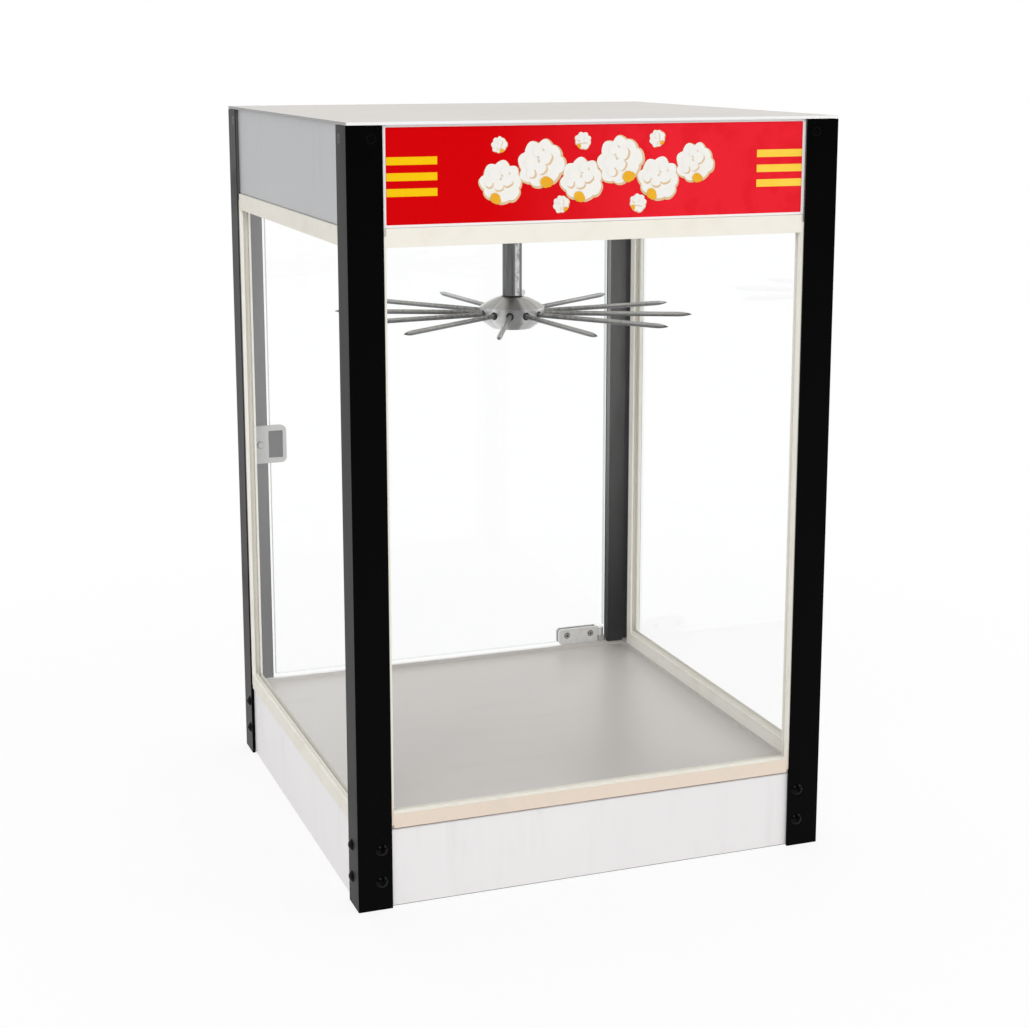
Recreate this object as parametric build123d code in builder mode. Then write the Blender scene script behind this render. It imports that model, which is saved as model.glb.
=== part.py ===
"""Popcorn display cabinet: a glazed counter case on four angle posts, with a lit hood, a folded base,
a hinged glass door at the rear and a motor-driven rack of twelve pointed rods.

Frame: origin at the centre of the underside, +X to the right seen from the front, +Y to the rear, +Z up.
Lengths are in millimetres.
"""
import os
from math import cos, degrees, radians, sin

from build123d import *

os.makedirs("parts", exist_ok=True)

# Overall sizes
cabinet_width = 457.2
cabinet_depth = 457.2
post_height = 690.0
base_height = 74.0
hood_height = 85.0
roof_rise = 2.9
hem = 1.8
hem_drop = 1.3

# Sheet metal and posts
post_leg = 31.75
post_wall = 3.175
post_edge_radius = 0.8
sheet = 1.2
bend_radius = 2.0
flange = 16.0
seam = 0.2
slip = 0.3

# Glass and its channels
glass = 4.8
channel_recess = 1.5
channel_depth = 11.1
channel_web = 3.0
channel_grip = 0.3
top_rail_height = 16.0
bottom_rail_height = 14.0
stile_show = 2.2
stile_width = 10.4
nose_cut_top = 6.5
nose_cut_bottom = 3.5
glass_play = 0.5

# Deck and base
deck_recess = 5.0
deck_gap = 0.4
deck_rear_edge = 4.6
ledge = 15.0
mitre_depth = 40.0
vent_length = 40.0
vent_width = 5.0
vent_columns = 4
vent_rows = 2
vent_column_pitch = 70.0
vent_row_pitch = 220.0

# Post screws and nuts
screw_inset = 22.0
base_screw_heights = (26.0, 56.0)
hood_screw_drop = 11.0
screw_shank = 2.4
screw_head = 5.85
screw_head_rise = 2.8
screw_clear = 0.2
sink_head = 4.6
screw_length = 14.0
nut_flats = 9.5
nut_height = 4.0

# Sign
sign_thickness = 3.0
sign_margin = 10.0
sign_window_margin = 40.0
sign_window_rim = 12.0

# Hood ceiling and lamps
ceiling_rim = 8.0
lamp_side_inset = 118.6
lamp_front_inset = 108.6
lens_length = 130.0
lens_width = 70.0
lens_thickness = 3.0
lens_lap = 5.0
socket_radius = 17.0
socket_length = 32.0
socket_bore = 13.5
socket_bore_depth = 22.0
lamp_base_radius = 13.3
bulb_radius = 24.0
bulb_length = 84.0
lamp_height = 38.0
bracket_width = 34.0
bracket_foot = 18.0

# Rear panel of the hood
louvre_length = 70.0
louvre_radius = 5.0
louvre_rows = 5
louvre_columns = 2
louvre_pitch = 12.5
louvre_column_pitch = 84.0
louvre_rise = 45.0
switch_rise = 43.0
switch_insets = (110.6, 72.6)
bezel_width = 26.0
bezel_height = 33.0
bezel_rise = 1.6
switch_width = 22.6
switch_depth = 24.0
rocker_width = 19.2
rocker_radius = 12.4
rocker_gap = 0.5
rocker_tilt = 10.0
pivot_sink = 3.0
trunnion = 1.5
running = 0.05
gland_inset = 78.6
gland_rise = 25.0
gland_bore = 4.2
gland_body = 8.0
gland_flange = 10.5
gland_lip = 2.0
gland_length = 12.0

# Rack and its drive
shaft_radius = 9.525
hub_radius = 31.5
hub_drop = 123.0
hub_height = 30.5
hub_foot_radius = 20.0
hub_crown_radius = 13.0
hub_taper = 8.0
hub_band = 13.0
rod_rise = 14.4
rod_radius = 2.38
rod_reach = 175.7
rod_point = 15.0
rod_tip = 0.4
rod_root = 12.5
rod_count = 12
rod_phase = -0.421
rod_sink_radius = 3.6
rod_sink_depth = 1.5
hub_floor = 4.0
hub_screw_radius = 3.0
hub_screw_head = 6.0
hub_screw_length = 16.0
bearing_radius = 12.7
bearing_length = 12.0
bearing_flange = 22.0
bearing_flange_height = 2.5
collar_radius = 15.0
collar_height = 16.0
set_screw_radius = 3.0
output_radius = 4.0
output_seat = 21.0
output_reach = 22.0
motor_half_length = 45.0
motor_half_width = 38.0
motor_plate = 2.0
motor_lift = 30.0
motor_foot = 13.0
gearbox_height = 26.0
gearbox_boss = 9.0
gearbox_corner = 12.0
stator_length = 64.0
stator_width = 50.0
stator_height = 20.0
rotor_radius = 13.0
motor_screw = 2.0
motor_screw_head = 3.8

# Rear door and its catch
door_gap = 2.5
hinge_offset = 6.25
lug_height = 6.0
lug_radius = 4.2
pin_radius = 2.5
clamp_gap = 0.8
clamp_web = 2.6
clamp_height = 17.6
clamp_length = 48.0
clamp_start = 4.7
clamp_thickness = 10.6
clamp_corner = 4.0
clamp_end_wall = 2.0
barrel_height = 9.6
neck_width = 6.4
glass_grip = 0.2
clamp_screw_places = (9.0, 38.0)
clamp_screw_radius = 2.4
clamp_screw_proud = 0.8
stile_bar_width = 18.5
stile_bar_depth = 9.1
catch_height = 40.6
catch_drop = 3.8
catch_left = 14.6
catch_right = 50.6
catch_front = 10.0
catch_thickness = 4.0
catch_foot = 15.4
catch_corner = 6.0
magnet_width = 15.5
magnet_height = 29.3
magnet_place = 38.9
magnet_sink = 0.8
catch_screw_place = 22.4
catch_screw_radius = 2.2
catch_screw_head = 4.2
strike_width = 13.5
strike_height = 27.0
strike_thickness = 1.0
strike_gap = 0.3
pull_length = 32.0
pull_width = 14.0
pull_reach = 17.0
pull_wall = 2.5
pull_lip = 9.0

# Heater under the deck
heater_radius = 4.0
heater_drop = 12.0
heater_run = 280.0
heater_pitch = 100.0
heater_bend = 42.0
heater_pin_radius = 2.0
heater_pin_length = 22.0
clip_width = 14.0
clip_thickness = 1.5
clip_foot = 8.0
thermostat_radius = 9.5
thermostat_height = 12.0

half_width = cabinet_width / 2
half_depth = cabinet_depth / 2
outward = {"front": (0, -1), "rear": (0, 1), "left": (-1, 0), "right": (1, 0)}
facing = {"front": half_depth, "rear": half_depth, "left": half_width, "right": half_width}
along = {"front": half_width, "rear": half_width, "left": half_depth, "right": half_depth}
hood_bottom = post_height - hood_height
hood_screw_height = post_height - hood_screw_drop
roof_top = post_height + roof_rise
hood_top = roof_top - sheet
deck_top = base_height - deck_recess
deck_bottom = deck_top - sheet
channel_inset = channel_recess + channel_depth
glass_inset = (post_wall + channel_inset) / 2
stile_end = post_leg + stile_show - stile_width
opening_mid = (base_height + hood_bottom) / 2
opening_half = (hood_bottom - base_height) / 2
lamp_x = half_width - lamp_side_inset
lamp_y = lamp_front_inset - half_depth
louvre_height = hood_bottom + louvre_rise
switch_height = hood_bottom + switch_rise
switch_places = [inset - half_width for inset in switch_insets]
gland_height = hood_bottom + gland_rise
gland_place = half_width - gland_inset
hub_bottom = hood_bottom - hub_drop
hub_top = hub_bottom + hub_height
band_bottom = hub_bottom + hub_taper
band_top = band_bottom + hub_band
rod_height = hub_bottom + rod_rise
catch_z = opening_mid - catch_drop


def section_plane(side, offset=0):
    """A cut through one wall: x runs outward from the cabinet's axis, y runs up."""
    out_x, out_y = outward[side]
    return Plane(origin=(0, 0, 0), x_dir=(out_x, out_y, 0), z_dir=(out_y, -out_x, 0)).offset(offset)


def face_plane(side, inset):
    """The plane of one wall, inset from the posts' outer face: x runs along it, y up, normal outward."""
    out_x, out_y = outward[side]
    distance = facing[side] - inset
    middle = (out_x * distance, out_y * distance, 0)
    return Plane(origin=middle, x_dir=(-out_y, out_x, 0), z_dir=(out_x, out_y, 0))


def plan_plane(side, height):
    """A level plane at one wall: x runs along the wall, y runs outward."""
    out_x, out_y = outward[side]
    return Plane(origin=(0, 0, height), x_dir=(out_y, -out_x, 0), z_dir=(0, 0, 1))


def write(piece, node):
    """Labels a finished piece and writes it as its own file."""
    piece.part.label = node
    export_step(piece.part, f"parts/{node}.step")


def fold(side, path, half_length):
    """Sheet bent along a path of (outward, up) points and run along one wall, its metal inside the path."""
    with BuildSketch(section_plane(side)) as profile_sketch:
        with BuildLine():
            FilletPolyline(*path, radius=bend_radius)
            offset(amount=sheet, side=Side.LEFT)
        make_face()
    extrude(profile_sketch.sketch, amount=half_length, both=True)


def mitre(side, height):
    """Cuts both ends of a folded wall back at 45 degrees, where it meets its neighbours."""
    outer = facing[side] - post_wall
    end = along[side] - post_wall - seam
    with BuildSketch(plan_plane(side, 0)) as keep:
        Polygon(
            (-end, outer),
            (end, outer),
            (end - mitre_depth, outer - mitre_depth),
            (mitre_depth - end, outer - mitre_depth),
            align=None,
        )
    extrude(keep.sketch, amount=height, mode=Mode.INTERSECT)


def screw_spots(side, heights):
    """Where the post screws of one wall stand, as (along, up) points."""
    place = along[side] - screw_inset
    return [(sign * place, height) for sign in (-1, 1) for height in heights]


def drill(side, inset, heights, radius, depth):
    """Drills the post screws' holes of one wall inward from an inset plane."""
    with BuildSketch(face_plane(side, inset)) as holes:
        with Locations(*screw_spots(side, heights)):
            Circle(radius)
    extrude(holes.sketch, amount=-depth, mode=Mode.SUBTRACT)


# Posts: steel angle, drilled for two screws low on each leg and sunk for one at the hood.
for post_name, side_x, side_y in (
    ("post_front_left", "left", "front"),
    ("post_front_right", "right", "front"),
    ("post_rear_left", "left", "rear"),
    ("post_rear_right", "right", "rear"),
):
    sign_x = outward[side_x][0]
    sign_y = outward[side_y][1]
    with BuildPart() as post:
        with BuildSketch(Plane.XY) as angle:
            with Locations((sign_x * (half_width - post_leg / 2), sign_y * (half_depth - post_leg / 2))):
                Rectangle(post_leg, post_leg)
            inner_x = sign_x * (half_width - post_wall - post_leg / 2)
            inner_y = sign_y * (half_depth - post_wall - post_leg / 2)
            with Locations((inner_x, inner_y)):
                Rectangle(post_leg, post_leg, mode=Mode.SUBTRACT)
            root = angle.vertices().sort_by_distance((0, 0))[-2]
            fillet([corner for corner in angle.vertices() if corner != root], post_edge_radius)
        extrude(amount=post_height)
        for side in (side_x, side_y):
            drill(side, 0, base_screw_heights, screw_shank + screw_clear, post_wall)
            with Locations(face_plane(side, 0)):
                with Locations(*screw_spots(side, (hood_screw_height,))):
                    CounterSinkHole(screw_shank + screw_clear, sink_head + screw_clear, depth=post_wall)
    write(post, post_name)

# Base panels: folded walls with a stepped top edge that seats the channels and, lower, the deck.
for side in ("front", "left", "right", "rear"):
    wall = facing[side] - post_wall
    step = facing[side] - channel_inset + 0.6
    if side == "rear":
        step = wall - deck_rear_edge
    profile = (
        (wall - flange, 0),
        (wall, 0),
        (wall, base_height),
        (step, base_height),
        (step, deck_bottom),
        (facing[side] - channel_inset - ledge, deck_bottom),
    )
    with BuildPart() as base_panel:
        fold(side, profile, along[side])
        mitre(side, base_height)
        drill(side, post_wall, base_screw_heights, screw_shank + screw_clear, sheet)
    write(base_panel, f"base_{side}_panel")

# Bottom pan: a sheet flush with the posts' feet, joggled up round its edge onto the walls' lower flanges.
pan_x = half_width - post_wall - flange - slip
pan_y = half_depth - post_wall - flange - slip
rim = flange - sheet - 2 * slip
with BuildPart() as bottom_pan:
    with BuildSketch(Plane.XY):
        Rectangle(2 * pan_x, 2 * pan_y)
    extrude(amount=2 * sheet)
    with BuildSketch(Plane.XY.offset(sheet)):
        Rectangle(2 * (pan_x - sheet), 2 * (pan_y - sheet))
    extrude(amount=sheet, mode=Mode.SUBTRACT)
    with BuildSketch(Plane.XY.offset(sheet)):
        Rectangle(2 * (pan_x + rim), 2 * (pan_y + rim))
        Rectangle(2 * (pan_x - sheet), 2 * (pan_y - sheet), mode=Mode.SUBTRACT)
    extrude(amount=sheet)
    with BuildSketch(Plane.XY):
        with GridLocations(vent_column_pitch, vent_row_pitch, vent_columns, vent_rows):
            SlotOverall(vent_length, vent_width, rotation=90)
    extrude(amount=sheet, mode=Mode.SUBTRACT)
write(bottom_pan, "bottom_pan")

# Deck: a shallow pan, its floor on the walls' ledges and its edge just below the channels.
deck_side = half_width - channel_inset + 0.6 - deck_gap
deck_front = half_depth - channel_inset + 0.6 - deck_gap
deck_rear = half_depth - post_wall - deck_rear_edge - deck_gap
with BuildPart() as deck_pan:
    with BuildSketch(Plane.XY.offset(deck_bottom)) as deck_outline:
        with Locations((0, (deck_rear - deck_front) / 2)):
            Rectangle(2 * deck_side, deck_front + deck_rear)
        fillet(deck_outline.vertices(), bend_radius)
    extrude(amount=deck_recess + sheet - seam)
    fillet(deck_pan.faces().sort_by(Axis.Z)[0].edges(), bend_radius)
    offset(amount=-sheet, openings=deck_pan.faces().sort_by(Axis.Z)[-1])
write(deck_pan, "deck_pan")

# Heater: a tubular element in one serpentine under the deck, with a thinner cold pin at each end.
heater_z = deck_bottom - heater_drop
run_y = heater_run / 2
heater_xs = [(index - 1.5) * heater_pitch for index in range(4)]
heater_path = [
    (heater_xs[0], run_y, heater_z),
    (heater_xs[0], -run_y, heater_z),
    (heater_xs[1], -run_y, heater_z),
    (heater_xs[1], run_y, heater_z),
    (heater_xs[2], run_y, heater_z),
    (heater_xs[2], -run_y, heater_z),
    (heater_xs[3], -run_y, heater_z),
    (heater_xs[3], run_y, heater_z),
]
with BuildPart() as heater_element:
    with BuildLine() as heater_line:
        FilletPolyline(*heater_path, radius=heater_bend)
    with BuildSketch(Plane.XZ.offset(-run_y)):
        with Locations((heater_xs[0], heater_z)):
            Circle(heater_radius)
    sweep()
    with BuildSketch(Plane.XZ.offset(-run_y)):
        with Locations((heater_xs[0], heater_z), (heater_xs[3], heater_z)):
            Circle(heater_pin_radius)
    extrude(amount=-heater_pin_length)
write(heater_element, "heater_element")

# Heater clips: punched tabs that hang from the deck, the element passed through them.
with BuildPart() as heater_clips:
    for clip_y in (-run_y / 3, run_y / 3):
        with BuildSketch(Plane.XZ.offset(-clip_y)):
            with Locations(*[(x, heater_z) for x in heater_xs]):
                Rectangle(clip_width, heater_drop, align=(Align.CENTER, Align.MIN))
                Circle(clip_width / 2)
                Circle(heater_radius + screw_clear, mode=Mode.SUBTRACT)
        extrude(amount=clip_thickness)
        with BuildSketch(Plane.XY.offset(deck_bottom)):
            with Locations(*[(x, clip_y) for x in heater_xs]):
                Rectangle(clip_width, clip_foot, align=(Align.CENTER, Align.MIN))
        extrude(amount=-sheet)
write(heater_clips, "heater_clips")

# Thermostat: a snap disc against the underside of the deck, with two blade terminals.
with BuildPart() as thermostat:
    with BuildSketch(Plane.XY.offset(deck_bottom)):
        Circle(thermostat_radius + 2)
    extrude(amount=-sheet)
    with BuildSketch(Plane.XY.offset(deck_bottom)):
        Circle(thermostat_radius)
    extrude(amount=-thermostat_height)
    with BuildSketch(Plane.XY.offset(deck_bottom - thermostat_height)):
        with GridLocations(thermostat_radius, 0, 2, 1):
            Rectangle(0.8, 6.3)
    extrude(amount=-8)
write(thermostat, "thermostat")

# Glass channels: a rail at the top and bottom of each window and a stile beside each post.
for side in ("front", "left", "right"):
    inner = facing[side] - channel_inset
    outer = facing[side] - channel_recess
    wall = facing[side] - post_wall
    glass_centre = facing[side] - glass_inset
    slot = glass + 2 * channel_grip
    rail_half = along[side] - post_leg - stile_show
    with BuildPart() as rails:
        for edge, height, level in (
            (base_height, bottom_rail_height, Align.MIN),
            (hood_bottom, top_rail_height, Align.MAX),
        ):
            towards_glass = 1 if level is Align.MIN else -1
            with BuildSketch(section_plane(side)):
                with Locations((inner, edge)):
                    Rectangle(outer - inner, height, align=(Align.MIN, level))
                with Locations((glass_centre, edge + towards_glass * channel_web)):
                    Rectangle(slot, height, align=(Align.CENTER, level), mode=Mode.SUBTRACT)
            extrude(amount=rail_half, both=True)
    write(rails, f"{side}_glass_rails")

    far = along[side] - stile_end
    grip = far - rail_half - channel_web
    with BuildPart() as stiles:
        with BuildSketch(plan_plane(side, base_height)):
            for sign in (-1, 1):
                towards = Align.MIN if sign > 0 else Align.MAX
                with Locations((sign * rail_half, inner)):
                    Rectangle(far - rail_half, wall - inner, align=(towards, Align.MIN))
                with Locations((sign * rail_half, glass_centre)):
                    Rectangle(grip, slot, align=(towards, Align.CENTER), mode=Mode.SUBTRACT)
        extrude(amount=hood_bottom - base_height)
        with BuildSketch(plan_plane(side, base_height + nose_cut_bottom)):
            for sign in (-1, 1):
                towards = Align.MIN if sign > 0 else Align.MAX
                with Locations((sign * rail_half, wall)):
                    Rectangle(stile_show, outer - wall, align=(towards, Align.MIN))
        extrude(amount=hood_bottom - base_height - nose_cut_bottom - nose_cut_top)
    write(stiles, f"{side}_glass_stiles")

    pane_low = base_height + channel_web
    pane_high = hood_bottom - channel_web - glass_play
    pane_half = far - channel_web - glass_play
    with BuildPart() as pane:
        with BuildSketch(face_plane(side, glass_inset - glass / 2)):
            with Locations((0, (pane_low + pane_high) / 2)):
                Rectangle(2 * pane_half, pane_high - pane_low)
        extrude(amount=-glass)
    write(pane, f"{side}_glass")

# Hood walls: folded panels with a flange under the roof and one under the ceiling.
for side in ("left", "right"):
    wall = facing[side] - post_wall
    lip = wall - flange
    profile = ((lip, hood_bottom), (wall, hood_bottom), (wall, hood_top), (lip, hood_top))
    with BuildPart() as hood_panel:
        fold(side, profile, along[side])
        mitre(side, hood_top)
        drill(side, post_wall, (hood_screw_height,), screw_shank + screw_clear, sheet)
    write(hood_panel, f"hood_{side}_panel")

# Hood rear panel: the same folded wall, with pressed louvres and openings for the switches and cord.
rear_wall = half_depth - post_wall
lip = rear_wall - flange
profile = ((lip, hood_bottom), (rear_wall, hood_bottom), (rear_wall, hood_top), (lip, hood_top))
switch_opening = 2 * (rocker_radius + rocker_gap) + 2 * sheet
with BuildPart() as hood_rear_panel:
    fold("rear", profile, along["rear"])
    mitre("rear", hood_top)
    drill("rear", post_wall, (hood_screw_height,), screw_shank + screw_clear, sheet)
    with BuildSketch(face_plane("rear", post_wall)):
        with Locations(*[(place, switch_height) for place in switch_places]):
            Rectangle(switch_width, switch_opening)
        with Locations((gland_place, gland_height)):
            Circle(gland_body)
    extrude(amount=-sheet, mode=Mode.SUBTRACT)
    for column in range(louvre_columns):
        louvre_x = (column - (louvre_columns - 1) / 2) * louvre_column_pitch
        for bulge, half_length, mode in (
            (louvre_radius, louvre_length / 2, Mode.ADD),
            (louvre_radius - sheet, louvre_length / 2 - sheet, Mode.SUBTRACT),
        ):
            with BuildSketch(section_plane("rear", louvre_x)):
                for row in range(louvre_rows):
                    hood_z = louvre_height + (row - (louvre_rows - 1) / 2) * louvre_pitch
                    skin = rear_wall - sheet / 2 if mode is Mode.ADD else rear_wall - sheet
                    with BuildLine():
                        start = (skin, hood_z - louvre_radius)
                        foot = (rear_wall + bulge, hood_z - louvre_radius)
                        head = (rear_wall, hood_z - louvre_radius + bulge)
                        Line(start, foot)
                        RadiusArc(foot, head, -bulge)
                        Polyline(head, (skin, hood_z - louvre_radius + bulge), start)
                    make_face()
            extrude(amount=half_length, both=True, mode=mode)
write(hood_rear_panel, "hood_rear_panel")

# Sign: a printed panel behind the front posts' legs, backed by a folded frame with a window for the lamps.
sign_half = half_width - post_wall - sign_margin
sign_low = hood_bottom + seam
sign_high = hood_top - seam
with BuildPart() as sign_panel:
    with BuildSketch(face_plane("front", post_wall)):
        with Locations((0, (sign_low + sign_high) / 2)):
            Rectangle(2 * sign_half, sign_high - sign_low)
    extrude(amount=-sign_thickness)
    drill("front", post_wall, (hood_screw_height,), screw_shank + screw_clear, sign_thickness)
write(sign_panel, "sign_panel")

frame_face = half_depth - post_wall - sign_thickness
lip = half_depth - post_wall - flange
profile = ((lip, hood_bottom), (frame_face, hood_bottom), (frame_face, hood_top), (lip, hood_top))
with BuildPart() as sign_frame:
    fold("front", profile, along["front"])
    mitre("front", hood_top)
    drill("front", post_wall + sign_thickness, (hood_screw_height,), screw_shank + screw_clear, sheet)
    with BuildSketch(face_plane("front", post_wall + sign_thickness)) as window:
        with Locations((0, (hood_bottom + hood_top) / 2)):
            Rectangle(2 * (half_width - sign_window_margin), hood_top - hood_bottom - 2 * sign_window_rim)
        fillet(window.vertices(), bend_radius)
    extrude(amount=-sheet, mode=Mode.SUBTRACT)
write(sign_frame, "sign_frame")

# Roof cover: a sheet over the hood and the posts' ends, hemmed at its edge, with a skirt inside the flanges.
skirt_x = half_width - post_wall - flange - slip
skirt_y = half_depth - post_wall - flange - slip
with BuildPart() as roof_cover:
    with BuildSketch(Plane.XY.offset(hood_top)) as roof_outline:
        Rectangle(2 * half_width, 2 * half_depth)
        fillet(roof_outline.vertices(), bend_radius)
    extrude(amount=sheet)
    with BuildSketch(Plane.XY.offset(hood_top)) as hem_outline:
        Rectangle(2 * half_width, 2 * half_depth)
        fillet(hem_outline.vertices(), bend_radius)
        Rectangle(2 * (half_width - hem), 2 * (half_depth - hem), mode=Mode.SUBTRACT)
    extrude(amount=-hem_drop)
    with BuildSketch(Plane.XY.offset(hood_top)):
        Rectangle(2 * skirt_x, 2 * skirt_y)
        Rectangle(2 * (skirt_x - sheet), 2 * (skirt_y - sheet), mode=Mode.SUBTRACT)
    extrude(amount=-ceiling_rim)
write(roof_cover, "roof_cover")

# Hood ceiling: a shallow pan on the hood's lower flanges, open for the shaft bearing and two lamps.
ceiling_bottom = hood_bottom + sheet
ceiling_top = ceiling_bottom + sheet
ceiling_x = half_width - post_wall - sheet - slip
ceiling_rear = half_depth - post_wall - sheet - slip
ceiling_front = half_depth - post_wall - sign_thickness - sheet - slip
with BuildPart() as hood_ceiling:
    with BuildSketch(Plane.XY.offset(ceiling_bottom)) as ceiling_outline:
        with Locations((0, (ceiling_rear - ceiling_front) / 2)):
            Rectangle(2 * ceiling_x, ceiling_front + ceiling_rear)
        fillet(ceiling_outline.vertices(), bend_radius)
    extrude(amount=ceiling_rim)
    fillet(hood_ceiling.faces().sort_by(Axis.Z)[0].edges(), bend_radius)
    offset(amount=-sheet, openings=hood_ceiling.faces().sort_by(Axis.Z)[-1])
    with BuildSketch(Plane.XY.offset(ceiling_bottom)):
        Circle(bearing_radius + slip)
        with Locations((-lamp_x, lamp_y), (lamp_x, lamp_y)):
            Rectangle(lens_length - 2 * lens_lap, lens_width - 2 * lens_lap)
    extrude(amount=sheet, mode=Mode.SUBTRACT)
write(hood_ceiling, "hood_ceiling")

# Lamps: a frosted lens over each ceiling opening and, above it, a bulb lying level in a bracketed socket.
with BuildPart() as lamp_lenses:
    with BuildSketch(Plane.XY.offset(ceiling_top)):
        with Locations((-lamp_x, lamp_y), (lamp_x, lamp_y)):
            Rectangle(lens_length, lens_width)
    extrude(amount=lens_thickness)
write(lamp_lenses, "lamp_lenses")

bracket_x = lamp_x + lens_length / 2 + bracket_foot + 2 * slip
lamp_z = ceiling_top + lamp_height
with BuildPart() as lamp_sockets:
    for sign in (-1, 1):
        back = Plane(origin=(sign * bracket_x, lamp_y, 0), x_dir=(0, -sign, 0), z_dir=(-sign, 0, 0))
        with BuildSketch(back):
            with Locations((0, ceiling_top)):
                Rectangle(bracket_width, lamp_height, align=(Align.CENTER, Align.MIN))
            with Locations((0, lamp_z)):
                Circle(bracket_width / 2)
        extrude(amount=clip_thickness)
        with BuildSketch(back.offset(clip_thickness)):
            with Locations((0, ceiling_top)):
                Rectangle(bracket_width, clip_thickness, align=(Align.CENTER, Align.MIN))
        extrude(amount=bracket_foot - clip_thickness)
        with BuildSketch(back.offset(clip_thickness)):
            with Locations((0, lamp_z)):
                Circle(socket_radius)
        extrude(amount=socket_length)
        with BuildSketch(back.offset(clip_thickness + socket_length)):
            with Locations((0, lamp_z)):
                Circle(socket_bore)
        extrude(amount=-socket_bore_depth, mode=Mode.SUBTRACT)
write(lamp_sockets, "lamp_sockets")

bulb_foot = bracket_x - clip_thickness - socket_length + socket_bore_depth
with BuildPart() as lamp_bulbs:
    for sign in (-1, 1):
        foot = (sign * bulb_foot, lamp_y, lamp_z)
        with BuildSketch(Plane(origin=foot, x_dir=(-sign, 0, 0), z_dir=(0, -1, 0))):
            with BuildLine():
                cap = (socket_bore_depth + 2, lamp_base_radius)
                shoulder = (socket_bore_depth + 6, lamp_base_radius + 1.5)
                equator = (bulb_length - bulb_radius, bulb_radius)
                Polyline((0, 0), (0, lamp_base_radius), cap, shoulder, equator)
                RadiusArc(equator, (bulb_length, 0), bulb_radius)
                Line((bulb_length, 0), (0, 0))
            make_face()
        revolve(axis=Axis((0, lamp_y, lamp_z), (1, 0, 0)))
write(lamp_bulbs, "lamp_bulbs")

# Post screws: truss heads on the base, flush heads at the hood, each with a nut behind its panel.
with BuildPart() as truss_screw:
    with BuildSketch(Plane.XZ):
        with BuildLine():
            crown = (0, screw_head_rise)
            head_edge = (screw_head, 0)
            shank_end = (screw_shank, -screw_length)
            Polyline(crown, (0, -screw_length), shank_end, (screw_shank, 0), head_edge)
            RadiusArc(head_edge, crown, -(screw_head**2 / screw_head_rise + screw_head_rise) / 2)
        make_face()
    revolve(axis=Axis.Z)

with BuildPart() as flush_screw:
    with BuildSketch(Plane.XZ):
        with BuildLine():
            neck = (screw_shank, screw_shank - sink_head)
            shank_end = (screw_shank, -screw_length)
            Polyline((0, 0), (0, -screw_length), shank_end, neck, (sink_head, 0), close=True)
        make_face()
    revolve(axis=Axis.Z)

with BuildPart() as post_screws:
    for side in ("front", "left", "right", "rear"):
        with Locations(face_plane(side, 0)):
            with Locations(*screw_spots(side, base_screw_heights)):
                add(truss_screw.part)
            with Locations(*screw_spots(side, (hood_screw_height,))):
                add(flush_screw.part)
write(post_screws, "post_screws")

with BuildPart() as post_nuts:
    for side in ("front", "left", "right", "rear"):
        hood_back = post_wall + sheet
        if side == "front":
            hood_back += sign_thickness
        for inset, heights in ((post_wall + sheet, base_screw_heights), (hood_back, (hood_screw_height,))):
            with BuildSketch(face_plane(side, inset)):
                with Locations(*screw_spots(side, heights)):
                    RegularPolygon(nut_flats / 2, 6, major_radius=False)
                    Circle(screw_shank + screw_clear / 2, mode=Mode.SUBTRACT)
            extrude(amount=-nut_height)
write(post_nuts, "post_nuts")

# Switches: two bezelled bodies in the hood's rear panel, each with a rocker on trunnions.
body_height = switch_opening - screw_clear
pocket = 2 * (rocker_radius + rocker_gap)
with BuildPart() as switch_bodies:
    spots = [(place, switch_height) for place in switch_places]
    with BuildSketch(face_plane("rear", post_wall)):
        with Locations(*spots):
            Rectangle(bezel_width, bezel_height)
    extrude(amount=bezel_rise)
    with BuildSketch(face_plane("rear", post_wall)):
        with Locations(*spots):
            Rectangle(switch_width - screw_clear, body_height)
    extrude(amount=-switch_depth)
    with BuildSketch(face_plane("rear", post_wall - bezel_rise)):
        with Locations(*spots):
            Rectangle(rocker_width + 2 * rocker_gap, pocket)
    extrude(amount=-switch_depth / 2, mode=Mode.SUBTRACT)
    with BuildSketch(section_plane("rear")):
        with Locations((rear_wall + bezel_rise - pivot_sink, switch_height)):
            Circle(trunnion + running)
    pivot_half = switch_width / 2 + abs(switch_places[1])
    extrude(amount=pivot_half, both=True, mode=Mode.SUBTRACT)
write(switch_bodies, "switch_bodies")

for node, place in zip(("light_rocker", "motor_rocker"), switch_places):
    pivot = (-place, rear_wall + bezel_rise - pivot_sink, switch_height)
    tilt = radians(-rocker_tilt)
    tilted = Plane(origin=pivot, x_dir=(0, cos(tilt), sin(tilt)), z_dir=(1, 0, 0))
    low, high = radians(-20), radians(28)
    with BuildPart() as rocker:
        with BuildSketch(tilted):
            with BuildLine():
                inner_top = (rocker_radius * sin(low), rocker_radius * cos(low))
                outer_top = (rocker_radius * sin(high), rocker_radius * cos(high))
                inner_foot = (inner_top[0], -inner_top[1])
                outer_foot = (outer_top[0], -outer_top[1])
                ThreePointArc(inner_top, (0, rocker_radius), outer_top)
                Polyline(outer_top, (outer_top[0] - 3.6, 0), outer_foot)
                ThreePointArc(outer_foot, (0, -rocker_radius), inner_foot)
                Line(inner_foot, inner_top)
            make_face()
        extrude(amount=rocker_width / 2, both=True)
        with BuildSketch(tilted):
            Circle(trunnion)
        extrude(amount=switch_width / 2 - 2 * screw_clear, both=True)
    write(rocker, node)

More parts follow.
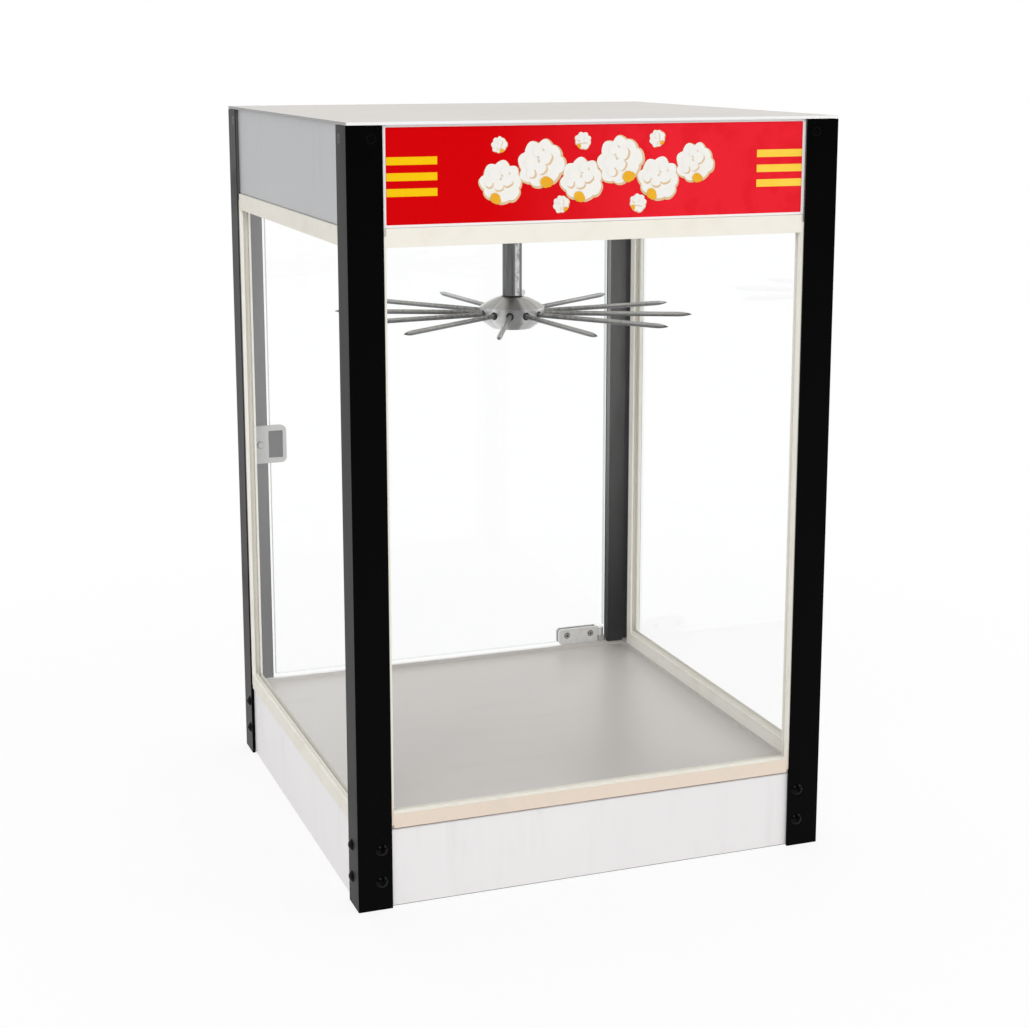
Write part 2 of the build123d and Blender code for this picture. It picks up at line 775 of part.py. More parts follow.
# Cord gland: a flanged bush in the rear panel, bored for the supply cord.
with BuildPart() as cord_gland:
    with BuildSketch(face_plane("rear", post_wall)):
        with Locations((gland_place, gland_height)):
            Circle(gland_flange)
    extrude(amount=gland_lip)
    with BuildSketch(face_plane("rear", post_wall)):
        with Locations((gland_place, gland_height)):
            Circle(gland_body)
    extrude(amount=gland_lip - gland_length)
    with BuildSketch(face_plane("rear", post_wall - gland_lip)):
        with Locations((gland_place, gland_height)):
            Circle(gland_bore)
    extrude(amount=-gland_length, mode=Mode.SUBTRACT)
write(cord_gland, "cord_gland")

# Rack: one shaft, a turned hub with twelve radial sockets, and a pointed rod in each.
bearing_top = ceiling_top + bearing_length - 6
shaft_top = bearing_top + slip + collar_height - 1
with BuildPart() as rack_shaft:
    with BuildSketch(Plane.XY.offset(hub_bottom + 2 * hub_floor)):
        Circle(shaft_radius)
    extrude(amount=shaft_top - hub_bottom - 2 * hub_floor)
    with BuildSketch(Plane.XY.offset(shaft_top)):
        Circle(output_radius + screw_clear / 2)
    extrude(amount=-output_seat, mode=Mode.SUBTRACT)
    with BuildSketch(Plane.XY.offset(hub_bottom + 2 * hub_floor)):
        Circle(hub_screw_radius + screw_clear / 2)
    extrude(amount=hub_screw_length, mode=Mode.SUBTRACT)
write(rack_shaft, "rack_shaft")

first_rod = degrees(rod_phase) - 90
with BuildPart() as rack_hub:
    with BuildSketch(Plane.XZ):
        with BuildLine():
            crown = (hub_crown_radius, hub_top)
            shoulder = (hub_radius, band_top)
            taper_end = (hub_radius, band_bottom)
            Polyline((0, hub_top), (0, hub_bottom), (hub_foot_radius, hub_bottom), taper_end, shoulder)
            RadiusArc(shoulder, crown, -2 * hub_radius)
            Line(crown, (0, hub_top))
        make_face()
    revolve(axis=Axis.Z)
    with BuildSketch(Plane.XY.offset(hub_top)):
        Circle(shaft_radius + screw_clear / 2)
    extrude(amount=hub_bottom + 2 * hub_floor - hub_top, mode=Mode.SUBTRACT)
    with BuildSketch(Plane.XY.offset(hub_bottom)):
        Circle(hub_screw_radius + screw_clear)
    extrude(amount=2 * hub_floor, mode=Mode.SUBTRACT)
    with BuildSketch(Plane.XY.offset(hub_bottom)):
        Circle(hub_screw_head + screw_clear)
    extrude(amount=hub_floor, mode=Mode.SUBTRACT)
    with PolarLocations(hub_radius, rod_count, start_angle=first_rod):
        with Locations(Location((0, 0, rod_height), (0, 90, 0))):
            CounterBoreHole(rod_radius, rod_sink_radius, rod_sink_depth, depth=hub_radius - rod_root)
write(rack_hub, "rack_hub")

with BuildPart() as rod:
    with BuildSketch(Plane.XZ.offset(0)):
        with BuildLine():
            shank_end = (rod_reach - rod_point, rod_height + rod_radius)
            point = (rod_reach, rod_height + rod_tip)
            Polyline((rod_root, rod_height), (rod_root, rod_height + rod_radius), shank_end)
            RadiusArc(shank_end, point, 3 * rod_point)
            Polyline(point, (rod_reach, rod_height), (rod_root, rod_height))
        make_face()
    revolve(axis=Axis((0, 0, rod_height), (1, 0, 0)))

with BuildPart() as rack_spokes:
    with PolarLocations(0, rod_count, start_angle=first_rod):
        add(rod.part)
write(rack_spokes, "rack_spokes")

# Shaft bearing: a flanged bush that stands in the ceiling, its bore a running fit on the shaft.
with BuildPart() as shaft_bearing:
    with BuildSketch(Plane.XY.offset(bearing_top - bearing_length)):
        Circle(bearing_radius)
    extrude(amount=bearing_length)
    with BuildSketch(Plane.XY.offset(ceiling_top)):
        Circle(bearing_flange)
    extrude(amount=bearing_flange_height)
    with BuildSketch(Plane.XY.offset(bearing_top)):
        Circle(shaft_radius + running)
    extrude(amount=-bearing_length, mode=Mode.SUBTRACT)
write(shaft_bearing, "shaft_bearing")

# Shaft collar: carries the rack on the bearing and couples it to the motor's output shaft.
collar_bottom = bearing_top + slip
with BuildPart() as shaft_collar:
    with BuildSketch(Plane.XY.offset(collar_bottom)):
        Circle(collar_radius)
        Circle(shaft_radius + screw_clear / 2, mode=Mode.SUBTRACT)
    extrude(amount=collar_height)
    with BuildSketch(Plane.YZ):
        with Locations((0, collar_bottom + collar_height / 2)):
            Circle(set_screw_radius)
    extrude(amount=collar_radius, both=True, mode=Mode.SUBTRACT)
write(shaft_collar, "shaft_collar")

with BuildPart() as rack_screws:
    for sign in (-1, 1):
        with BuildSketch(Plane.YZ.offset(sign * (shaft_radius + screw_clear / 2))):
            with Locations((0, collar_bottom + collar_height / 2)):
                Circle(set_screw_radius - screw_clear / 2)
        extrude(amount=sign * (collar_radius - shaft_radius - 2 * screw_clear))
    with BuildSketch(Plane.XY.offset(hub_bottom + hub_floor)):
        Circle(hub_screw_head)
    extrude(amount=screw_clear - hub_floor)
    with BuildSketch(Plane.XY.offset(hub_bottom + hub_floor)):
        Circle(hub_screw_radius)
    extrude(amount=hub_screw_length)
write(rack_screws, "rack_screws")

# Gear motor: a bridge bracket on the ceiling, the gearbox on it, the stator on the gearbox.
plate_bottom = ceiling_top + motor_lift
plate_top = plate_bottom + motor_plate
with BuildPart() as motor_bracket:
    with BuildSketch(Plane.XZ):
        with BuildLine():
            Polyline(
                (-motor_half_length - motor_foot, ceiling_top),
                (-motor_half_length, ceiling_top),
                (-motor_half_length, plate_bottom),
                (motor_half_length, plate_bottom),
                (motor_half_length, ceiling_top),
                (motor_half_length + motor_foot, ceiling_top),
            )
            offset(amount=motor_plate, side=Side.LEFT, kind=Kind.INTERSECTION)
        make_face()
    extrude(amount=motor_half_width, both=True)
    motor_spots = GridLocations(2 * (motor_half_length - 8), 2 * (motor_half_width - 12), 2, 2)
    with BuildSketch(Plane.XY.offset(plate_bottom)):
        Circle(gearbox_boss + screw_clear)
        with motor_spots:
            Circle(motor_screw + screw_clear)
    extrude(amount=motor_plate, mode=Mode.SUBTRACT)
write(motor_bracket, "motor_bracket")

gearbox_top = plate_top + gearbox_height
with BuildPart() as gearbox:
    with BuildSketch(Plane.XY.offset(plate_top)) as case:
        Rectangle(2 * motor_half_length - 6, 2 * motor_half_width - 10)
        fillet(case.vertices(), gearbox_corner)
    extrude(amount=gearbox_height)
    chamfer(gearbox.faces().sort_by(Axis.Z)[-1].edges(), 1.5)
    with BuildSketch(Plane.XY.offset(plate_top)):
        Circle(gearbox_boss)
    extrude(amount=-motor_plate - 2)
    with BuildSketch(Plane.XY.offset(plate_bottom - 2)):
        Circle(output_radius + running)
    extrude(amount=output_reach + motor_plate + 3, mode=Mode.SUBTRACT)
    with BuildSketch(Plane.XY.offset(plate_top)):
        with GridLocations(2 * (motor_half_length - 8), 2 * (motor_half_width - 12), 2, 2):
            Circle(motor_screw + screw_clear / 2)
    extrude(amount=gearbox_height / 2, mode=Mode.SUBTRACT)
write(gearbox, "gearbox")

with BuildPart() as motor_stator:
    with BuildSketch(Plane.XY.offset(gearbox_top)):
        Rectangle(stator_length, stator_width)
        Circle(rotor_radius, mode=Mode.SUBTRACT)
    extrude(amount=stator_height)
    with BuildSketch(Plane.XY.offset(gearbox_top)):
        Circle(rotor_radius - 0.5)
    extrude(amount=stator_height + 2)
    with BuildSketch(Plane.YZ.offset(-stator_length / 2)):
        with Locations((0, gearbox_top + stator_height / 2)):
            Rectangle(stator_width - 14, stator_height)
    extrude(amount=-6, taper=8)
write(motor_stator, "motor_stator")

with BuildPart() as motor_screws:
    with BuildSketch(Plane.XY.offset(plate_bottom)):
        with GridLocations(2 * (motor_half_length - 8), 2 * (motor_half_width - 12), 2, 2):
            Circle(motor_screw_head)
    extrude(amount=-2.4)
    with BuildSketch(Plane.XY.offset(plate_bottom)):
        with GridLocations(2 * (motor_half_length - 8), 2 * (motor_half_width - 12), 2, 2):
            Circle(motor_screw)
    extrude(amount=gearbox_height / 3)
write(motor_screws, "motor_screws")

with BuildPart() as output_shaft:
    with BuildSketch(Plane.XY.offset(shaft_top - output_seat)):
        Circle(output_radius)
    extrude(amount=plate_top + output_reach - shaft_top + output_seat)
write(output_shaft, "output_shaft")

# Hinge stile: a bar on the inner face of the rear right post, beside the door's hinges.
leg_edge = half_width - post_leg
stile_face = half_depth - post_wall
with BuildPart() as hinge_stile:
    with BuildSketch(Plane.XY.offset(base_height)):
        with Locations((leg_edge, stile_face)):
            Rectangle(stile_bar_width, stile_bar_depth, align=(Align.MIN, Align.MAX))
    extrude(amount=hood_bottom - base_height)
write(hinge_stile, "hinge_stile")

# Hinge lugs: one at the foot and one at the head of the stile, bored for the door's pins.
hinge_x = leg_edge - hinge_offset
door_y = half_depth - glass / 2
ends = (-1, 1)
with BuildPart() as hinge_lugs:
    for end in ends:
        with BuildSketch(Plane.XY.offset(opening_mid + end * opening_half)):
            with Locations((hinge_x, door_y)):
                Circle(lug_radius)
            with Locations((hinge_x, door_y - lug_radius)):
                Rectangle(hinge_offset, lug_radius + glass / 2, align=(Align.MIN, Align.MIN))
            with Locations((hinge_x, door_y)):
                Circle(pin_radius + running, mode=Mode.SUBTRACT)
        extrude(amount=-end * lug_height)
write(hinge_lugs, "hinge_lugs")

# Hinge clamps: each grips the glass in a slot, carries two screws and turns on a pin in its lug.
clamp_right = hinge_x - clamp_start
clamp_left = clamp_right - clamp_length
with BuildPart() as hinge_clamps:
    for end in ends:
        clamp_z = opening_mid + end * (opening_half - clamp_gap)
        with BuildSketch(Plane.XZ.offset(-door_y)) as block:
            with Locations((clamp_right, clamp_z)):
                Rectangle(clamp_length, clamp_height, align=(Align.MAX, Align.MAX if end > 0 else Align.MIN))
            fillet(block.vertices().group_by(Axis.X)[0], clamp_corner)
        extrude(amount=clamp_thickness / 2, both=True)
        with BuildSketch(Plane.XY.offset(clamp_z - end * clamp_web)):
            with Locations((clamp_right - clamp_end_wall, door_y)):
                Rectangle(clamp_length, glass + 2 * glass_grip, align=(Align.MAX, Align.CENTER))
        extrude(amount=-end * clamp_height, mode=Mode.SUBTRACT)
        lug_face = opening_mid + end * (opening_half - lug_height - slip)
        with BuildSketch(Plane.XY.offset(lug_face)):
            with Locations((hinge_x, door_y)):
                Circle(lug_radius)
                Rectangle(clamp_start + clamp_end_wall / 2, neck_width, align=(Align.MAX, Align.CENTER))
        extrude(amount=-end * barrel_height)
        with BuildSketch(Plane.XY.offset(lug_face)):
            with Locations((hinge_x, door_y)):
                Circle(pin_radius)
        extrude(amount=end * (lug_height - slip))
        screw_z = clamp_z - end * (clamp_height + clamp_web) / 2
        with BuildSketch(Plane.XZ.offset(-door_y)):
            with Locations(*[(clamp_right - place, screw_z) for place in clamp_screw_places]):
                Circle(clamp_screw_radius + screw_clear / 2)
        extrude(amount=clamp_thickness, mode=Mode.SUBTRACT)
write(hinge_clamps, "hinge_clamps")

with BuildPart() as clamp_screws:
    for end in ends:
        screw_z = opening_mid + end * (opening_half - clamp_gap - (clamp_height + clamp_web) / 2)
        with BuildSketch(Plane.XZ.offset(-door_y + glass / 2)):
            with Locations(*[(clamp_right - place, screw_z) for place in clamp_screw_places]):
                Circle(clamp_screw_radius)
        extrude(amount=(clamp_thickness - glass) / 2 + clamp_screw_proud)
write(clamp_screws, "clamp_screws")

# Door glass: one pane with a notch at each hinge corner.
door_half = leg_edge - door_gap
door_low = base_height + clamp_gap + clamp_web
door_high = hood_bottom - clamp_gap - clamp_web
notch = door_half - clamp_right + clamp_end_wall + slip
notch_height = clamp_height - clamp_web + 2 * slip
with BuildPart() as door_glass:
    with BuildSketch(Plane.XZ.offset(-half_depth)):
        with Locations((0, opening_mid)):
            Rectangle(2 * door_half, door_high - door_low)
        with Locations((door_half, door_low)):
            Rectangle(notch, notch_height, align=(Align.MAX, Align.MIN), mode=Mode.SUBTRACT)
        with Locations((door_half, door_high)):
            Rectangle(notch, notch_height, align=(Align.MAX, Align.MAX), mode=Mode.SUBTRACT)
    extrude(amount=glass)
write(door_glass, "door_glass")

# Door catch: a plate on the rear left post that reaches behind the glass and holds the magnet.
catch_face = half_depth - post_wall - catch_front + 3.2
plate_left = -half_width + catch_left
with BuildPart() as door_catch:
    with BuildSketch(Plane.XZ.offset(-catch_face)) as plate:
        with Locations((plate_left, catch_z)):
            Rectangle(catch_right - catch_left, catch_height, align=(Align.MIN, Align.CENTER))
        fillet(plate.vertices().group_by(Axis.X)[-1], catch_corner)
        fillet(plate.vertices().group_by(Axis.X)[0], clamp_corner / 4)
    extrude(amount=-catch_thickness)
    with BuildSketch(Plane.XZ.offset(-catch_face)):
        with Locations((plate_left, catch_z)):
            Rectangle(catch_foot, catch_height, align=(Align.MIN, Align.CENTER))
    extrude(amount=-(half_depth - post_wall - catch_face))
    with BuildSketch(Plane.XZ.offset(-catch_face)):
        with Locations((-half_width + magnet_place, catch_z)):
            Rectangle(magnet_width, magnet_height)
        with Locations((-half_width + catch_screw_place, catch_z)):
            Circle(catch_screw_radius + screw_clear / 2)
    extrude(amount=-(half_depth - post_wall - catch_face), mode=Mode.SUBTRACT)
write(door_catch, "door_catch")

magnet_front = catch_face + magnet_sink
strike_face = half_depth - glass - strike_thickness
with BuildPart() as catch_magnet:
    with BuildSketch(Plane.XZ.offset(-magnet_front)):
        with Locations((-half_width + magnet_place, catch_z)):
            Rectangle(magnet_width - screw_clear, magnet_height - screw_clear)
    extrude(amount=-(strike_face - strike_gap - magnet_front))
write(catch_magnet, "catch_magnet")

with BuildPart() as catch_screw:
    with BuildSketch(Plane.XZ.offset(-catch_face)):
        with Locations((-half_width + catch_screw_place, catch_z)):
            Circle(catch_screw_head)
    extrude(amount=2.0, taper=30)
    with BuildSketch(Plane.XZ.offset(-catch_face)):
        with Locations((-half_width + catch_screw_place, catch_z)):
            Circle(catch_screw_radius)
    extrude(amount=-(half_depth - post_wall - catch_face))
write(catch_screw, "catch_screw")

# Strike plate: bonded to the inside of the glass, facing the magnet.
with BuildPart() as strike_plate:
    with BuildSketch(Plane.XZ.offset(-strike_face)):
        with Locations((-door_half + 1.2, catch_z)):
            Rectangle(strike_width, strike_height, align=(Align.MIN, Align.CENTER))
    extrude(amount=-strike_thickness)
write(strike_plate, "strike_plate")

# Door pull: a hooked extrusion bonded to the outside of the glass at its free edge.
with BuildPart() as door_pull:
    with BuildSketch(Plane.XY.offset(catch_z - pull_length / 2)) as hook:
        with BuildLine():
            base_edge = -door_half + 1.2
            Polyline(
                (base_edge, half_depth),
                (base_edge + pull_width, half_depth),
                (base_edge + pull_width, half_depth + pull_reach),
                (base_edge + pull_width - pull_lip, half_depth + pull_reach),
            )
            offset(amount=pull_wall, side=Side.LEFT, kind=Kind.INTERSECTION)
        make_face()
    extrude(amount=pull_length)
write(door_pull, "door_pull")
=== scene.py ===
import math

import bpy
from mathutils import Matrix, Vector


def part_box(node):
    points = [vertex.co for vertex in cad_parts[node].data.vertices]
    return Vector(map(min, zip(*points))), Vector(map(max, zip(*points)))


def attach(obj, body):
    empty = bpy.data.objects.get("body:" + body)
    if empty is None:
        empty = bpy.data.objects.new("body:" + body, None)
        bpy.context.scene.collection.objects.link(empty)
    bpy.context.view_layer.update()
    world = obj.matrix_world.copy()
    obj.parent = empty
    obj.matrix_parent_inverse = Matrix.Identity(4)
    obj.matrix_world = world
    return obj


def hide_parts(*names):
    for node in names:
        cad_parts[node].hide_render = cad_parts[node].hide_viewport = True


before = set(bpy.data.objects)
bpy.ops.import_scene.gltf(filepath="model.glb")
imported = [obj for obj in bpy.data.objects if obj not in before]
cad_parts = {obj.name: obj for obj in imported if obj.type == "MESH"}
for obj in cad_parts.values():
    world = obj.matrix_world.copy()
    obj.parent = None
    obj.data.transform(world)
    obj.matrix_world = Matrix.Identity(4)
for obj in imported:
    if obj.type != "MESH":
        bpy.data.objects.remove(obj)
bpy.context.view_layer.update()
scene = bpy.context.scene


# Camera: it stands to the left of the front and a little above the hood, and looks down at the
# cabinet's middle. The small shift sets the cabinet in the frame as the photograph does.
camera_place = (-0.6528, -1.7872, 0.7563)
camera_tilt = 78.654
camera_turn = -20.344
camera_data = bpy.data.cameras.new("camera")
camera_data.lens = 68.19
camera_data.sensor_width = 36.0
camera_data.shift_x = -0.0074
camera_data.shift_y = -0.0778
camera_data.clip_start = 0.05
camera_data.clip_end = 60
camera = bpy.data.objects.new("camera", camera_data)
camera.location = camera_place
camera.rotation_euler = (math.radians(camera_tilt), 0, math.radians(camera_turn))
scene.collection.objects.link(camera)
scene.camera = camera
scene.view_settings.view_transform = "Standard"


# Posts: four lengths of rolled steel angle in black stoving enamel, with faint roller marks up the
# bar and a fine orange peel. Their faces inside the angle are painted charcoal above the foot, a painted
# sheen.
class Wire:
    """A shader socket that takes Python's arithmetic."""

    def __init__(self, paint, socket):
        self.paint = paint
        self.socket = socket

    def math(self, operation, *values):
        inputs = dict(enumerate((self,) + values))
        return self.paint.node("ShaderNodeMath", {"operation": operation}, inputs)

    def __add__(self, other):
        return self.math("ADD", other)

    __radd__ = __add__

    def __mul__(self, other):
        return self.math("MULTIPLY", other)

    __rmul__ = __mul__

    def __sub__(self, other):
        return self.math("SUBTRACT", other)

    def __rsub__(self, other):
        return self.paint.node("ShaderNodeMath", {"operation": "SUBTRACT"}, {0: other, 1: self})

    def __truediv__(self, other):
        return self.math("DIVIDE", other)

    def __pow__(self, other):
        return self.math("POWER", other)

    def __abs__(self):
        return self.math("ABSOLUTE")

    def most(self, other):
        return self.math("MAXIMUM", other)

    def least(self, other):
        return self.math("MINIMUM", other)

    def above(self, level):
        return self.math("GREATER_THAN", level)

    def below(self, level):
        return self.math("LESS_THAN", level)

    def ramp(self, low, high, start=0.0, end=1.0):
        """Carries this value from low..high to start..end in a soft step."""
        settings = {"interpolation_type": "SMOOTHSTEP"}
        inputs = {0: self, 1: low, 2: high, 3: start, 4: end}
        return self.paint.node("ShaderNodeMapRange", settings, inputs)


def opaque(colour):
    """A colour with its alpha, unless it comes from a node."""
    return colour if isinstance(colour, Wire) else (*colour, 1)


class Paint:
    """One material, or the world, as a tree of nodes."""

    def __init__(self, name, owner=None):
        self.owner = owner or bpy.data.materials.new(name)
        self.owner.use_nodes = True
        self.tree = self.owner.node_tree
        self.tree.nodes.clear()
        self.place = None

    def node(self, kind, settings=None, inputs=None, output=0):
        """Adds a node. Its settings are set first, then its sockets are given values or linked."""
        made = self.tree.nodes.new(kind)
        for name, value in (settings or {}).items():
            setattr(made, name, value)
        for name, value in (inputs or {}).items():
            if isinstance(value, Wire):
                self.tree.links.new(value.socket, made.inputs[name])
            else:
                made.inputs[name].default_value = value
        return Wire(self, made.outputs[output]) if made.outputs else None

    def spot(self):
        """The point on the piece, in metres, in the cabinet's frame."""
        if self.place is None:
            self.place = self.node("ShaderNodeTexCoord", output="Object")
        return self.place

    def parts(self, vector):
        """The three numbers of a vector: to the right, to the rear and up."""
        return [self.node("ShaderNodeSeparateXYZ", None, {0: vector}, axis) for axis in range(3)]

    def axes(self):
        return self.parts(self.spot())

    def facing(self):
        """Which way the face points."""
        return self.parts(self.node("ShaderNodeNewGeometry", output="Normal"))

    def stretched(self, scale):
        """The piece's point with each axis scaled, for grain that runs one way."""
        inputs = {"Vector": self.spot(), "Scale": scale}
        return self.node("ShaderNodeMapping", {"vector_type": "POINT"}, inputs)

    def noise(self, scale, detail=3.0, roughness=0.5, at=None):
        inputs = {"Vector": at or self.spot(), "Scale": scale, "Detail": detail, "Roughness": roughness}
        return self.node("ShaderNodeTexNoise", None, inputs, "Fac")

    def mix(self, share, first, second):
        """A colour between two others."""
        inputs = {"Factor": share, 6: opaque(first), 7: opaque(second)}
        return self.node("ShaderNodeMix", {"data_type": "RGBA"}, inputs, 2)

    def bump(self, height, depth):
        return self.node("ShaderNodeBump", None, {"Height": height, "Distance": depth})

    def diffuse(self, colour):
        return self.node("ShaderNodeBsdfDiffuse", None, {"Color": opaque(colour)})

    def mix_shaders(self, share, first, second):
        return self.node("ShaderNodeMixShader", None, {0: share, 1: first, 2: second})

    def surface(self, colour, roughness, normal, **constants):
        """Ends the tree in a Principled shader; constants are set on its own sockets."""
        inputs = {"Base Color": opaque(colour), "Roughness": roughness, "Normal": normal}
        inputs.update({name.replace("_", " "): value for name, value in constants.items()})
        return self.ends(self.node("ShaderNodeBsdfPrincipled", None, inputs))

    def ends(self, shader):
        self.node("ShaderNodeOutputMaterial", None, {"Surface": shader})
        return self.owner


def dress(material, *names):
    """Gives CAD nodes a material in place of their plain one."""
    for name in names:
        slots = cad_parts[name].data.materials
        slots.clear()
        slots.append(material)


def faces_middle(paint):
    """1 on the faces that look towards the cabinet's middle, and 0 on the others."""
    right, rear = paint.axes()[:2]
    face_right, face_rear = paint.facing()[:2]
    return (face_right * right + face_rear * rear).below(-0.1)


jet, dusty = (0.0004, 0.0004, 0.0004), (0.0016, 0.0016, 0.0017)
sheen_dark, sheen_pale = (0.095, 0.095, 0.097), (0.130, 0.130, 0.132)
roller_marks = (1, 1, 0.02)
sheen_starts, sheen_full_at = 0.08, 0.40

enamel = Paint("black_enamel")
peel = enamel.noise(scale=900, detail=2)
drag = enamel.noise(scale=60, detail=3, roughness=0.6, at=enamel.stretched(roller_marks))
dust = enamel.noise(scale=14, detail=4, roughness=0.6).ramp(0.5, 0.8)
# Painted sheen: faces that look into the cabinet turn charcoal, fading to black towards the foot.
painted_sheen_inside = faces_middle(enamel) * enamel.axes()[2].ramp(sheen_starts, sheen_full_at)
inner_sheen_tone = enamel.mix(drag.ramp(0.35, 0.65), sheen_dark, sheen_pale)
enamel_tone = enamel.mix(dust * 0.6, jet, dusty)
enamel_tone = enamel.mix(painted_sheen_inside, enamel_tone, inner_sheen_tone)
black_enamel = enamel.surface(
    enamel_tone,
    0.27 + 0.10 * drag + 0.08 * dust,
    enamel.bump(peel * 0.6 + drag * 0.4, depth=0.00005),
    Specular_IOR_Level=0.045,
)
dress(black_enamel, "post_front_left", "post_front_right", "post_rear_left", "post_rear_right")


# Hinge stile: a bar inside the rear right post, in the same black with upright streaks. Painted light
# turns it charcoal upwards from its black foot, and a painted highlight makes its left edge palest.
shaded_foot_black, lit_dark, lit_pale = (0.005, 0.005, 0.005), (0.120, 0.120, 0.122), (0.175, 0.175, 0.177)
edge_highlight = (0.36, 0.36, 0.36)
lit_from, lit_to = 0.08, 0.46

stile_paint = Paint("stile_enamel")
stile_streaks = stile_paint.noise(scale=30, detail=4, roughness=0.6, at=stile_paint.stretched((1, 1, 0.15)))
# Painted highlight: the face that looks left is painted pale grey.
edge = stile_paint.facing()[0].below(-0.6)
lit_tone = stile_paint.mix(stile_streaks.ramp(0.3, 0.7), lit_dark, lit_pale)
lit_tone = stile_paint.mix(edge, lit_tone, edge_highlight)
# Painted light: black at the foot, turning charcoal upwards.
stile_enamel = stile_paint.surface(
    stile_paint.mix(stile_paint.axes()[2].ramp(lit_from, lit_to), shaded_foot_black, lit_tone),
    0.42 + 0.14 * stile_streaks,
    stile_paint.bump(stile_streaks, depth=0.00004),
    Specular_IOR_Level=0.12,
)
dress(stile_enamel, "hinge_stile")


# Base: four folded walls of satin steel sheet, polished up and down, so the grain stands upright.
# The sheet is bright, handling has left faint upright smears on it, and a dark line along its foot is
# painted shade where it meets the floor.
upright_polish = (1, 1, 0.01)
floor_shade_height, floor_shade_tone = 0.0011, (0.03, 0.03, 0.032)


def satin_sheet(name, colour, smear_colour, polish, roughness, metallic, hems=()):
    """Sheet polished along one axis, the one with a small scale in polish. A hem is given by its
    axis, the side of the cabinet that it is on, how far out it begins, and the tone of light or shade
    painted on it."""
    sheet = Paint(name)
    grain = sheet.noise(scale=900, detail=4, roughness=0.7, at=sheet.stretched(polish))
    smear_scale = tuple(0.12 if part < 0.5 else 1.0 for part in polish)
    smear = sheet.noise(scale=70, detail=5, roughness=0.65, at=sheet.stretched(smear_scale))
    smear = smear.ramp(0.5, 0.8)
    cloud = sheet.noise(scale=5, detail=2).ramp(0.4, 0.7)
    clouded = tuple(0.95 * part for part in colour)
    tone = sheet.mix(smear * 0.6, colour, smear_colour)
    tone = sheet.mix(cloud * 0.6, tone, clouded)
    # Painted shade: a dark line along the foot of the sheet, where it meets the floor.
    tone = sheet.mix(sheet.axes()[2].below(floor_shade_height), tone, floor_shade_tone)
    for axis, side, begins, hem_light_tone in hems:
        tone = sheet.mix((sheet.axes()[axis] * side).above(begins), tone, hem_light_tone)
    return sheet.surface(
        tone,
        roughness + 0.10 * grain + 0.06 * smear,
        sheet.bump(grain, depth=0.00004),
        Metallic=metallic,
    )


base_sheet = satin_sheet(
    "base_sheet", (0.91, 0.89, 0.89), (0.82, 0.80, 0.80), upright_polish, roughness=0.42, metallic=0.30
)
dress(base_sheet, "base_front_panel", "base_left_panel", "base_right_panel", "base_rear_panel")


# Hood walls and roof: the walls are the base's sheet made greyer, as painted shade. The roof is a warm
# pale grey, polished from side to side, and folded down into hems that are painted shade at the sides
# and a painted highlight in front.
sideways_polish = (0.01, 1, 1)
hem_skin = 0.0002
hem_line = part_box("roof_cover")[1].x - hem_skin
# Painted shade on the hems at the sides, and a painted highlight on the hem in front.
hem_painted_shade, hem_painted_highlight = (0.36, 0.36, 0.36), (0.95, 0.95, 0.95)
roof_hems_lit = ((0, -1, hem_line, hem_painted_shade), (0, 1, hem_line, hem_painted_shade), (1, -1, hem_line, hem_painted_highlight))

# Painted shade: the hood walls are the base's sheet in a darker grey.
shaded_hood_sheet = satin_sheet(
    "shaded_hood_sheet", (0.52, 0.525, 0.535), (0.48, 0.485, 0.495), upright_polish, roughness=0.40, metallic=0.35
)
dress(shaded_hood_sheet, "hood_left_panel", "hood_right_panel", "hood_rear_panel")
roof_sheet = satin_sheet(
    "roof_sheet",
    (0.60, 0.575, 0.545),
    (0.55, 0.53, 0.50),
    sideways_polish,
    roughness=0.45,
    metallic=0.15,
    hems=roof_hems_lit,
)
dress(roof_sheet, "roof_cover")


# Deck and pans: mill-finish steel, duller than the walls and dulled further by years of wiping. The
# sign's frame and the motor's bracket are cut from it too, and the ceiling is painted pale.
deck_sheet = satin_sheet(
    "deck_sheet", (0.66, 0.63, 0.605), (0.615, 0.585, 0.56), sideways_polish, roughness=0.32, metallic=0.15
)
dress(deck_sheet, "deck_pan", "bottom_pan", "sign_frame", "motor_bracket")
ceiling_sheet = satin_sheet(
    "ceiling_sheet", (0.78, 0.76, 0.72), (0.70, 0.68, 0.64), sideways_polish, roughness=0.5, metallic=0.0
)
dress(ceiling_sheet, "hood_ceiling")


# Glass channels: cream plastic extrusions, butted round each pane. The lower front rail has yellowed
# over the heater, and a thin dark joint runs under it where it sits on the base.
fresh, aged, painted_light_cream = (0.88, 0.845, 0.755), (0.82, 0.70, 0.585), (0.96, 0.94, 0.88)
joint_tone, mottled = (0.22, 0.15, 0.14), (0.74, 0.66, 0.55)
aged_below, fresh_above = 0.085, 0.11
joint_width = 0.0006
joint_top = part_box("front_glass_rails")[0].z + joint_width
front_rail_rear = -0.2

channel = Paint("cream_channel")
rear, up = channel.axes()[1:]
at_front = rear.below(front_rail_rear)
yellowing = 1 - up.ramp(aged_below, fresh_above)
